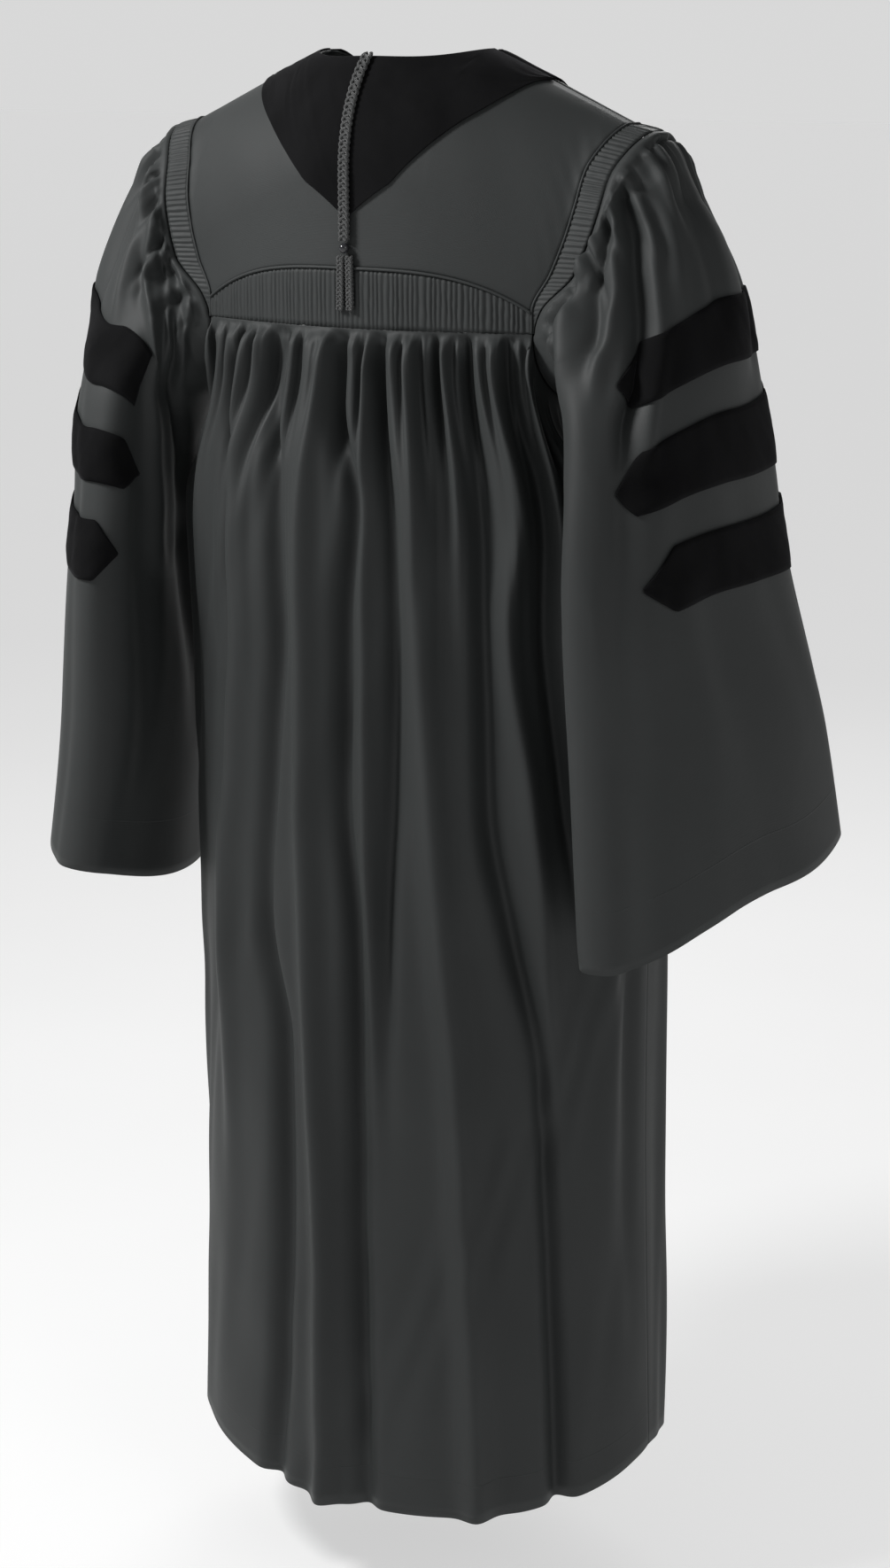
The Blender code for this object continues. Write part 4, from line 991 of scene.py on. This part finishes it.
def shoulder_normals(points):
    """Outward directions of the back's smooth surface at points on it."""
    result = np.zeros_like(points)
    small = 0.002
    for row in range(points.shape[0]):
        for column in range(points.shape[1]):
            x, _, z = points[row, column]
            drop = max(drop_at(x, z), small)
            along = shoulder_point(x, drop + small, 1) - shoulder_point(x, drop - small, 1)
            over = shoulder_point(x - small, drop, 1) - shoulder_point(x + small, drop, 1)
            result[row, column] = along.cross(over).normalized()
    return result


def yoke_array():
    neck = NECK_HALF / SHOULDER_HALF
    inner = [neck * math.sin(math.pi / 2 * k / 22) for k in range(21)]
    outer = [mix(neck, 1.0, k / 30) for k in range(31)]
    half = inner + outer
    reaches = list(reversed(half)) + [-reach for reach in half[1:]]
    stations = [YOKE_CORNER * k / (YOKE_ROWS - 1) for k in range(YOKE_ROWS)]
    points = fill(yoke_point, reaches, stations)
    reach, down = np.meshgrid(reaches, np.linspace(0, 1, YOKE_ROWS))
    rise = 0.0005 * wander(reach * 4 + down * 2, 1.0) * np.sin(math.pi * down)
    pull = np.exp(-((1.0 - np.abs(reach)) / 0.1) ** 2) * np.sin(math.pi * down)
    rise += 0.0004 * pull * rolls(down * 9.0 + 1.7 * wander(reach * 4, 2.0))
    return rise_out(points, rise, shoulder_normals(points))


def velvet_v_array():
    half = [NECK_HALF * math.sin(math.pi / 2 * k / 30) for k in range(28)]
    half += [mix(NECK_HALF, VELVET_TIP, k / 16) for k in range(17)]
    xs = list(reversed(half)) + [-x for x in half[1:]]

    def point(x, t):
        start = max(neck_drop(x), seam_drop(x))
        end = max(curve(VELVET_V, abs(x), 1), start + 0.004)
        return shoulder_point(x, mix(start, end, t), 1)

    points = fill(point, xs, np.linspace(0.0, 1.0, VELVET_ROWS))
    out = shoulder_normals(points)
    x, down = np.meshgrid(xs, np.linspace(0, 1, VELVET_ROWS))
    rise = VELVET + LIFT + 0.0005 * (1.0 + wander(x * 60 + down * 6, 4.0)) * np.sin(math.pi * down)
    return rise_out(points, rise, out)


def fluted(points, phase, down, uneven, widths=1.0):
    """Narrow flutes raised on a strip, one for each whole phase, flatter at its long edges."""
    height = (0.55 + 0.45 * np.sin(math.pi * down) ** 0.6) * widths
    rise = FLUTE_HIGH * height * uneven * (0.55 + 0.45 * rolls(phase, 0.24))
    return rise_out(points, rise, normals_of(points))


def band_array():
    corner = armhole_station(BAND_CORNER)
    seam_corner = armhole_station(YOKE_CORNER)
    reaches = np.linspace(1.0, -1.0, BAND_COLUMNS)
    parts = np.linspace(0.0, 1.0, 11)

    def point(reach, t):
        seam_x = reach * (seam_corner.x - SEAM)
        x = mix(seam_x, reach * (corner.x - SEAM), t)
        z = mix(yoke_seam_z(seam_x) - SEAM, corner.z, t)
        return Vector((x, mix(depth_at(seam_x, 1), depth_at(x, 1), t), z))

    points = fill(point, reaches, parts)
    reach, down = np.meshgrid(reaches, parts)
    flutes = 2 * corner.x / FLUTE_PITCH
    phase = (reach * flutes / 2 + 0.35 * wander(reach * 11, 5.0)
             + 0.12 * wander(down * 5 + reach * 30, 6.0))
    return fluted(points, phase, down, 1.0 + 0.25 * wander(reach * 23, 7.0))


def strip_array():
    stations = np.linspace(-FRONT_FLUTING_END, BAND_CORNER, STRIP_COLUMNS)
    parts = np.linspace(0.0, 1.0, 9)

    def point(station, t):
        width = max(fluting_width(station) - SEAM, FLUTING_TIP)
        return armhole_station(station) + away_from_armhole(station) * (SEAM + width * t)

    points = fill(point, stations, parts)
    length = along_length(points[4])
    station, down = np.meshgrid(stations, parts)
    phase = (length[None, :] / FLUTE_PITCH + 0.3 * wander(station, 8.0)
             + 0.1 * wander(down * 4 + station * 5, 9.0))
    widths = np.array([fluting_width(s) for s in stations]) / FLUTING_WIDTH
    return fluted(points, phase, down, 1.0 + 0.25 * wander(station * 2.3, 10.0), widths)


def gather_phase(shares):
    """Whole at each main gather under the band, and running on evenly beyond them."""
    ridges = np.array(sorted(GATHERS))
    numbers = np.arange(len(ridges), dtype=float)
    step = (ridges[-1] - ridges[0]) / (len(ridges) - 1)
    phase = np.interp(shares, ridges, numbers)
    phase += np.maximum(shares - ridges[-1], 0.0) / step
    phase += np.minimum(shares - ridges[0], 0.0) / step
    return phase


def skirt_array():
    shares = np.linspace(1.0, -1.0, SKIRT_COLUMNS)
    rows = np.linspace(0.0, 1.0, SKIRT_ROWS) ** 1.45
    tops = {share: back_top(abs(share)) for share in shares}

    def point(share, down):
        z = mix(tops[share].z - SEAM, hem_z(abs(share), 1), down)
        return mirrored(back_base(abs(share), z), 1 if share >= 0 else -1)

    points = fill(point, shares, rows)
    share = np.tile(shares, (len(rows), 1))
    z = points[:, :, 2]
    below = points[:1, :, 2] - z
    rise = fold_field(BACK_LONG_FOLDS, share, z, BACK_FADES)
    phase = gather_phase(share)
    reach = soft_step(below / 0.018) * (1.0 - soft_step((below - 0.03) / 0.17)) ** 1.3
    inside = soft_step((0.66 - np.abs(share)) / 0.08)
    rise += GATHER_RISE * reach * inside * (0.35 + rolls(phase + 0.5, 0.21))
    fine = soft_step(below / 0.006) * (1.0 - soft_step((below - 0.008) / 0.055))
    steps = phase * 2.45 + 0.5 * wander(phase * 1.3, 11.0) + 1.2 * below * wander(phase, 3.0) * 8
    rise += PLEAT_RISE * fine * inside * rolls(steps, 0.26)
    middle = soft_step(below / 0.03) * (1.0 - soft_step((below - 0.08) / 0.3))
    lean = phase * 1.3 + 0.6 * wander(phase, 12.0) + below * 3.0 * wander(phase * 0.4, 13.0)
    rise += CREASE_RISE * middle * rolls(lean, 0.28)
    sway = share * 5.0 + 1.1 * wander(z * 3.2 + share * 2.0, 14.0)
    rise += SWAY_RISE * soft_step(below / 0.2) * np.sin(2 * math.pi * sway)
    settle = soft_step((1.0 - np.abs(share)) / SIDE_SETTLE) * soft_step(below / 0.01)
    result = rise_out(points, rise * settle, level_normals(points))
    result[:, 0, 1] += SIDE_TOUCH
    result[:, -1, 1] += SIDE_TOUCH
    return result


def front_array(shares):
    rows = np.linspace(0.0, 1.0, FRONT_ROWS) ** 1.5
    tops = {}
    for share in shares:
        tops[share] = front_top(share)
        if share < CLOSE:
            tops[share].z = neckline_z(0.0)

    def point(share, down):
        return front_base(share, mix(tops[share].z, hem_z(share, -1), down))

    points = fill(point, shares, rows)
    share = np.tile(shares, (len(rows), 1))
    down = np.tile(rows[:, None], (1, len(shares)))
    z = points[:, :, 2]
    rise = fold_field(FRONT_LONG_FOLDS, share, z, FRONT_FADES)
    sway = share * 6.0 + 0.6 * wander(z * 2.0 + share * 3.0, 16.0)
    outside = soft_step((share - VELVET_SHARE - 0.02) / 0.15)
    rise += SWAY_RISE * outside * soft_step(down / 0.2) * np.sin(2 * math.pi * sway)
    settle = soft_step((1.0 - share) / SIDE_SETTLE) * soft_step(down / FRONT_SETTLE)
    out = level_normals(points)
    out[:, 0] = out[:, 1]
    result = rise_out(points, rise * settle, out)
    result[:, 0, 0] = FRONT_GAP
    top = 1.0 - soft_step(rows / 0.004)
    edge = shares >= SHOULDER_SHARE
    result[:, edge, 0] -= FRONT_EDGE * top[:, None]
    seam = (shares >= NECK_SHARE) & (shares <= SHOULDER_SHARE)
    result[:, seam, 1] -= SHOULDER_SEAM * top[:, None]
    if shares[-1] > 1.0 - CLOSE:
        result[:, -1, 1] -= SIDE_TOUCH
    return result


def sleeve_array(hand):
    stations = np.linspace(0.0, ARMHOLE_STATIONS, SLEEVE_COLUMNS + 1)[:-1]
    rows = np.concatenate([np.linspace(0.0, 5.0, 64)[:-1], np.linspace(5.0, 13.0, 62)[:-1],
                           np.linspace(13.0, 16.0, 34)])
    points = fill(lambda station, row: sleeve_base(hand, station, row), stations, rows)
    place = np.where(stations <= UNDERARM + 4, stations, stations - ARMHOLE_STATIONS)
    place, row = np.meshgrid(place, rows)
    folds = LEFT_SLEEVE_FOLDS if hand > 0 else RIGHT_SLEEVE_FOLDS
    rise = fold_field(folds, place, row, SLEEVE_FADES, ARMHOLE_STATIONS)
    over = soft_step((14.5 - np.abs(place)) / 4.0)
    seed = 18.0 if hand > 0 else 21.0
    fine = soft_step((row + 0.1) / 0.5) * (1.0 - soft_step((row - 0.5) / 2.2))
    steps = place * 1.85 + 0.5 * wander(place, seed) + 0.25 * row * wander(place * 0.7, seed + 1)
    rise += HEAD_PLEAT_RISE * fine * over * rolls(steps, 0.26)
    middle = soft_step(row / 0.9) * (1.0 - soft_step((row - 1.3) / 2.6))
    lean = place * 0.62 + 0.35 * wander(place * 0.6, seed + 2) + 0.05 * row
    rise += HEAD_GATHER_RISE * middle * over * (0.3 + rolls(lean, 0.22))
    sway = place * 0.13 + 0.35 * wander(row * 0.25 + place * 0.2, seed + 3)
    rise += SLEEVE_SWAY_RISE * soft_step(row / 3.0) * np.sin(2 * math.pi * sway)
    settle = soft_step((row + 0.05) / 0.6)
    return rise_out(points, rise * settle, level_normals(points, wrap=True)), rows


# Pieces
def sampled(points, rows, column, row):
    """Points between the columns and rows of a sleeve's array, which closes on itself."""
    count = points.shape[1]
    c = (column % ARMHOLE_STATIONS) / (ARMHOLE_STATIONS / count)
    r = np.interp(row, rows, np.arange(len(rows)))
    c0 = np.floor(c).astype(int)
    r0 = np.minimum(np.floor(r).astype(int), len(rows) - 2)
    tc = (c - c0)[..., None]
    tr = (r - r0)[..., None]
    c1 = (c0 + 1) % count
    c0 = c0 % count
    upper = points[r0, c0] * (1 - tc) + points[r0, c1] * tc
    lower = points[r0 + 1, c0] * (1 - tc) + points[r0 + 1, c1] * tc
    return upper * (1 - tr) + lower * tr


def bar_array(sleeve, rows, middle, first, last, blunt):
    """Velvet bar on a sleeve's cloth, with points at its ends, or caught in a fold behind."""
    ends = np.linspace(first, last, 97)
    steps = np.linspace(-1.0, 1.0, 13)
    near = ends - first if blunt else np.minimum(ends - first, last - ends)
    width = np.minimum(1.0, BAR_POINT + near / BAR_TIP)
    column, step = np.meshgrid(ends, steps)
    row = middle + step * width[None, :]
    points = sampled(sleeve, rows, column, row)
    edge = 1.0 - np.abs(step) ** 6
    puff = (BAR_LIFT + VELVET + 0.0009 * edge
            + 0.0004 * edge * wander(column * 1.3 + step * 2.0, middle))
    return rise_out(points, puff, normals_of(points))


def tube_mesh(name, paths, radius, sides=8, up=(0.0, 1.0, 0.0)):
    """Closed round tubes along paths, as one mesh with the length and the turn as its UVs."""
    verts, faces, uvs = [], [], []
    angles = 2 * math.pi * np.arange(sides) / sides
    for path in paths:
        along = unit(np.gradient(path, axis=0))
        side = unit(np.cross(up, along))
        out = np.cross(along, side)
        ring = (np.cos(angles)[None, :, None] * side[:, None, :]
                + np.sin(angles)[None, :, None] * out[:, None, :])
        index = len(verts) + np.arange(len(path) * sides).reshape(-1, sides).T
        verts += (np.array(path)[:, None, :] + radius * ring).reshape(-1, 3).tolist()
        length = along_length(path)
        turn = 2 * math.pi * radius / sides
        uv = np.stack(np.meshgrid(length, turn * np.arange(sides + 1)), axis=2)
        quads = quads_of(np.vstack([index, index[:1]]))
        faces += quads.swapaxes(0, 1).reshape(-1, 4).tolist()
        faces += [index[::-1, 0].tolist(), index[:, -1].tolist()]
        uvs += quads_of(uv).swapaxes(0, 1).reshape(-1, 2).tolist()
        uvs += [(0.0, 0.0)] * sides + [(length[-1], 0.0)] * sides
    return new_mesh(name, verts, faces, uvs)


def plait(start, end, start_z, end_z, lift, width, thick, pitch):
    """Paths of the strands of a flat plait down the middle of the back."""
    radius = thick * 0.36
    reach = width / 2 - radius
    deep = thick / 2 - radius
    count = max(int(abs(start_z - end_z) / pitch * 14), 24)
    paths = []
    for strand in range(STRANDS):
        line = []
        for i in range(count + 1):
            t = i / count
            x = mix(start, end, t)
            z = mix(start_z, end_z, t)
            drop = drop_at(x, z)
            base = shoulder_point(x, drop, 1)
            below = shoulder_point(x, drop + 0.01, 1)
            along = (below - base).normalized()
            out = Vector((0.0, -along.z, along.y))
            phase = 2 * math.pi * (t * abs(start_z - end_z) / pitch + strand / STRANDS)
            point = base + out * (lift + deep * math.sin(2 * phase))
            point.x += reach * math.sin(phase)
            line.append(tuple(point))
        paths.append(line)
    return paths, radius


def add_back(cloth, skirt_cloth, velvet):
    add_sheet("yoke_cloth", yoke_array(), YOKE_CUT, cloth, ("back_yoke",))
    add_sheet("velvet_v", velvet_v_array(), V_CUT, velvet, ("velvet_back_v",))
    add_sheet("band_flutes", band_array(), BAND_CUT, cloth, ("fluting_back",))
    add_sheet("skirt_cloth", skirt_array(), SKIRT_CUT, skirt_cloth, ("back_skirt",))


def add_front_pieces(skirt_cloth, velvet):
    corners = (NECK_SHARE, VELVET_SHARE, SHOULDER_SHARE)
    whole = front_array(np.union1d(np.linspace(0.0, 1.0, FRONT_COLUMNS), corners))
    columns = np.linspace(0.0, VELVET_SHARE, FACING_COLUMNS)
    edge = front_array(columns)
    share, down = np.meshgrid(columns, np.linspace(0, 1, FRONT_ROWS))
    nap = 0.0004 * (1.0 + wander(down * 24 + share * 12, 24.0))
    facing = rise_out(edge, LIFT + VELVET + nap, normals_of(edge))
    for hand, side in HANDS:
        add_sheet("front_cloth_" + side, mirror_array(whole, hand), FRONT_CUT, skirt_cloth,
                  ("front_" + side,))
        add_sheet("facing_" + side, mirror_array(facing, hand), FACING_CUT, velvet,
                  ("velvet_front_" + side,))


def add_sleeve_pieces(cloth, velvet):
    strip = strip_array()
    for hand, side in HANDS:
        sleeve, rows = sleeve_array(hand)
        add_sheet("sleeve_cloth_" + side, mirror_array(sleeve, hand), SLEEVE_CUT, cloth,
                  ("sleeve_" + side,), wrap=True)
        add_sheet("armhole_flutes_" + side, mirror_array(strip, hand), STRIP_CUT, cloth,
                  ("fluting_" + side,))
        for number, (middle, *tips) in enumerate(BAR_ENDS, start=1):
            first, last = tips[:2] if hand > 0 else tips[2:]
            blunt = hand > 0 and number == 1
            last += BLUNT_REACH if blunt else 0.0
            bar = bar_array(sleeve, rows, middle, first, last, blunt)
            add_sheet("velvet_bar_{}_{}".format(side, number), mirror_array(bar, hand),
                      BAR_CUT, velvet, ("bar_{}_{}".format(side, number),))


def add_piping(cloth):
    """Cloth-covered piping along the yoke's seam and the armholes."""
    corner = armhole_station(YOKE_CORNER).x
    line = []
    for k in range(PIPING_STEPS + 1):
        x = corner - 2 * corner * k / PIPING_STEPS
        seam = Vector((x, depth_at(x, 1), yoke_seam_z(x)))
        line.append(seam + Vector((0.0, PIPING * 0.55, 0.0)))
    add_piece("yoke_piping", tube_mesh("yoke_piping", [line], PIPING / 2), cloth)
    for hand, side in HANDS:
        name = "armhole_piping_" + side
        line = []
        for k in range(PIPING_STEPS + 1):
            station = mix(-FRONT_FLUTING_END, BAND_CORNER, k / PIPING_STEPS)
            along = armhole_station(station + 0.2) - armhole_station(station - 0.2)
            out = away_from_armhole(station).cross(along).normalized()
            point = armhole_station(station) + out * PIPING * 0.35
            line.append(mirrored(point, hand))
        add_piece(name, tube_mesh(name, [line], PIPING * 0.42, up=(0.3, 0.2, 0.9)), cloth)


def add_plait(name, node, cord, sides, *shape):
    paths, radius = plait(*shape)
    add_piece(name, tube_mesh(name, paths, radius, sides), cord, node)


def add_cords(cord, bead):
    neck = shoulder_point(0.0, neck_drop(0.0), 1).z
    lift = VELVET + 2 * LIFT + CORD_THICK / 2
    add_plait("back_cord", "hood_cord", cord, 10, 0.0, 0.0, neck, CORD_END_Z, lift, CORD_WIDTH,
              CORD_THICK, CORD_PITCH)
    lift = LIFT + FLUTE_RISE + STRAND_THICK / 2
    for hand, side in HANDS:
        start = hand * (STRAND_WIDTH + SEAM) / 2
        add_plait("cord_end_" + side, "cord_tail_" + side, cord, 8, start,
                  start + hand * STRAND_SPREAD, STRAND_START_Z, STRAND_END_Z, lift,
                  STRAND_WIDTH, STRAND_THICK, STRAND_PITCH)
    add_bead(bead)


def add_bead(bead):
    """Turned bead with a shallow groove round its edge."""
    profile = ((0.0, 1.0), (0.35, 0.96), (0.62, 0.82), (0.8, 0.6), (0.84, 0.5), (0.93, 0.4),
               (1.0, 0.12), (0.98, -0.2), (0.84, -0.6), (0.5, -0.92), (0.0, -1.0))
    mesh = bpy.data.meshes.new("cord_button")
    bm = bmesh.new()
    last = None
    centre = shoulder_point(0.0, drop_at(0.0, BUTTON_Z), 1)
    middle = Vector((0.0, centre.y + LIFT + BUTTON_RISE / 2, BUTTON_Z))
    for reach, height in profile:
        ring = []
        for k in range(BEAD_SIDES):
            angle = 2 * math.pi * k / BEAD_SIDES
            x = BUTTON_RADIUS * reach * math.cos(angle)
            z = BUTTON_RADIUS * reach * math.sin(angle)
            ring.append(bm.verts.new(middle + Vector((x, BUTTON_RISE / 2 * height, z))))
            if reach == 0.0:
                break
        if last is not None:
            for k in range(BEAD_SIDES):
                a = last[k % len(last)]
                b = last[(k + 1) % len(last)]
                c = ring[(k + 1) % len(ring)]
                d = ring[k % len(ring)]
                corners = [v for i, v in enumerate((a, b, c, d)) if v not in (a, b, c, d)[:i]]
                bm.faces.new(corners)
        last = ring
    bmesh.ops.recalc_face_normals(bm, faces=bm.faces)
    bm.to_mesh(mesh)
    bm.free()
    mesh.shade_smooth()
    add_piece("cord_button", mesh, bead, "hood_button")


def box_faces(bm, centre, half):
    corners = []
    for signs in ((-1, -1, -1), (1, -1, -1), (1, 1, -1), (-1, 1, -1),
                  (-1, -1, 1), (1, -1, 1), (1, 1, 1), (-1, 1, 1)):
        corners.append(bm.verts.new(centre + Vector(signs) * Vector(half)))
    for face in ((0, 3, 2, 1), (4, 5, 6, 7), (0, 1, 5, 4), (1, 2, 6, 5), (2, 3, 7, 6),
                 (3, 0, 4, 7)):
        bm.faces.new([corners[i] for i in face])


def add_zip(tape, teeth):
    """Zip tape behind the fronts' edges, with its teeth and slider in the slit."""
    rows = np.linspace(0.0, 1.0, 200)
    top = front_top(0.0)
    top.z = neckline_z(0.0)

    def down_point(share, part):
        down = mix(ZIP_TOP, ZIP_BOTTOM, part)
        return front_base(share, mix(top.z, hem_z(share, -1), down))

    shares = np.linspace(0.0, ZIP_SHARE, 9)
    half = fill(down_point, shares, rows)
    half[:, 0, 0] = 0.0
    out = normals_of(half)
    half = half - out * (CLOTH + ZIP_LIFT)
    half[:, 0, 0] = 0.0
    whole = np.concatenate([mirror_array(half, -1), half[:, 1:]], axis=1)
    add_sheet("zip_tape", whole, TAPE_CUT, tape, ("front_zip",))
    mesh = bpy.data.meshes.new("zip_teeth")
    bm = bmesh.new()
    line = half[:, 0]
    length = along_length(line)
    for i in range(int(length[-1] / TOOTH_PITCH)):
        t = i * TOOTH_PITCH + 0.001
        point = Vector([np.interp(t, length, line[:, k]) for k in range(3)])
        side = 1 if i % 2 else -1
        box_faces(bm, point + Vector((side * 0.0005, -0.0009, 0.0)), TOOTH_HALF)
    slider = Vector([np.interp(0.006, length, line[:, k]) for k in range(3)])
    box_faces(bm, slider + Vector((0.0, -0.0024, 0.0)), SLIDER_HALF)
    box_faces(bm, slider + Vector((0.0, -0.0044, -0.012)), PULL_HALF)
    bm.to_mesh(mesh)
    bm.free()
    piece = add_piece("zip_teeth", mesh, teeth)
    edge = piece.modifiers.new("soft edges", "BEVEL")
    edge.width = 0.0002
    edge.segments = 2


# Studio
def add_camera():
    side = math.radians(CAMERA_TURN)
    eye = Vector((-CAMERA_AWAY * math.sin(side), CAMERA_AWAY * math.cos(side), CAMERA_Z))
    right = Vector((-math.cos(side), -math.sin(side), 0.0))
    ahead = Vector((math.sin(side), -math.cos(side), 0.0))
    turned = ahead * math.cos(CAMERA_YAW) + right * math.sin(CAMERA_YAW)
    right = right * math.cos(CAMERA_YAW) - ahead * math.sin(CAMERA_YAW)
    pitch = math.radians(CAMERA_PITCH)
    up = Vector((0.0, 0.0, 1.0))
    forward = turned * math.cos(pitch) - up * math.sin(pitch)
    above = turned * math.sin(pitch) + up * math.cos(pitch)
    data = bpy.data.cameras.new("camera")
    data.lens = CAMERA_LENS
    data.clip_start = 0.05
    camera = place_object("camera", data)
    axes = Matrix((right, above, -forward)).transposed().to_4x4()
    camera.matrix_world = Matrix.Translation(eye) @ axes
    bpy.context.scene.camera = camera


def add_light(name, place, aim, size, power):
    data = bpy.data.lights.new(name, "AREA")
    data.shape = "DISK"
    data.size = size
    data.energy = power
    light = place_object(name, data)
    light.location = place
    toward = Vector(aim) - Vector(place)
    light.rotation_euler = toward.to_track_quat("-Z", "Y").to_euler()


def add_studio():
    floor = bpy.data.meshes.new("floor")
    size = FLOOR_HALF
    floor.from_pydata([(-size, -size, FLOOR_Z), (size, -size, FLOOR_Z), (size, size, FLOOR_Z),
                       (-size, size, FLOOR_Z)], [], [(0, 1, 2, 3)])
    floor.materials.append(floor_material())
    place_object("floor", floor)
    world = Nodes(bpy.data.worlds.new("studio"))
    direction = world.add("TexCoord", "Generated")
    toward = world.add("VectorMath", "Value", {0: direction, 1: BACKDROP_SIDE},
                       operation="DOT_PRODUCT")
    levels = {"Value": toward, "From Min": 0.35, "From Max": 0.85, "To Min": WORLD_LIGHT,
              "To Max": BACKDROP_LIGHT}
    glow = world.add("MapRange", "Result", levels, interpolation_type="SMOOTHSTEP")
    world.feed(world.tree.nodes["Background"], {"Strength": glow, "Color": (1.0,) * 4})
    bpy.context.scene.world = world.owner
    bpy.context.scene.view_settings.view_transform = "Standard"
    for light in LIGHTS:
        add_light(*light)


def dress():
    """Dress the frame in cloth, velvet, cords and the zip."""
    cloth = (cloth_material("gown cloth"), "gown_cloth", SHELL)
    skirt_cloth = (cloth_material("gown cloth with hem", HEM), "gown_cloth", SHELL)
    velvet = (velvet_material(), "black_velvet", VELVET_SHELL)
    add_back(cloth, skirt_cloth, velvet)
    add_front_pieces(skirt_cloth, velvet)
    add_sleeve_pieces(skirt_cloth, velvet)
    add_piping(cloth)
    add_cords((cord_material(), "grey_cord"), (bead_material(), "dark_bead"))
    add_zip((tape_material("zip tape", 0.02), "zip_tape", TAPE_SHELL),
            (tape_material("zip teeth", 0.035), "zip_tape"))


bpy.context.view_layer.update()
add_camera()
add_studio()
dress()
bpy.context.view_layer.update()
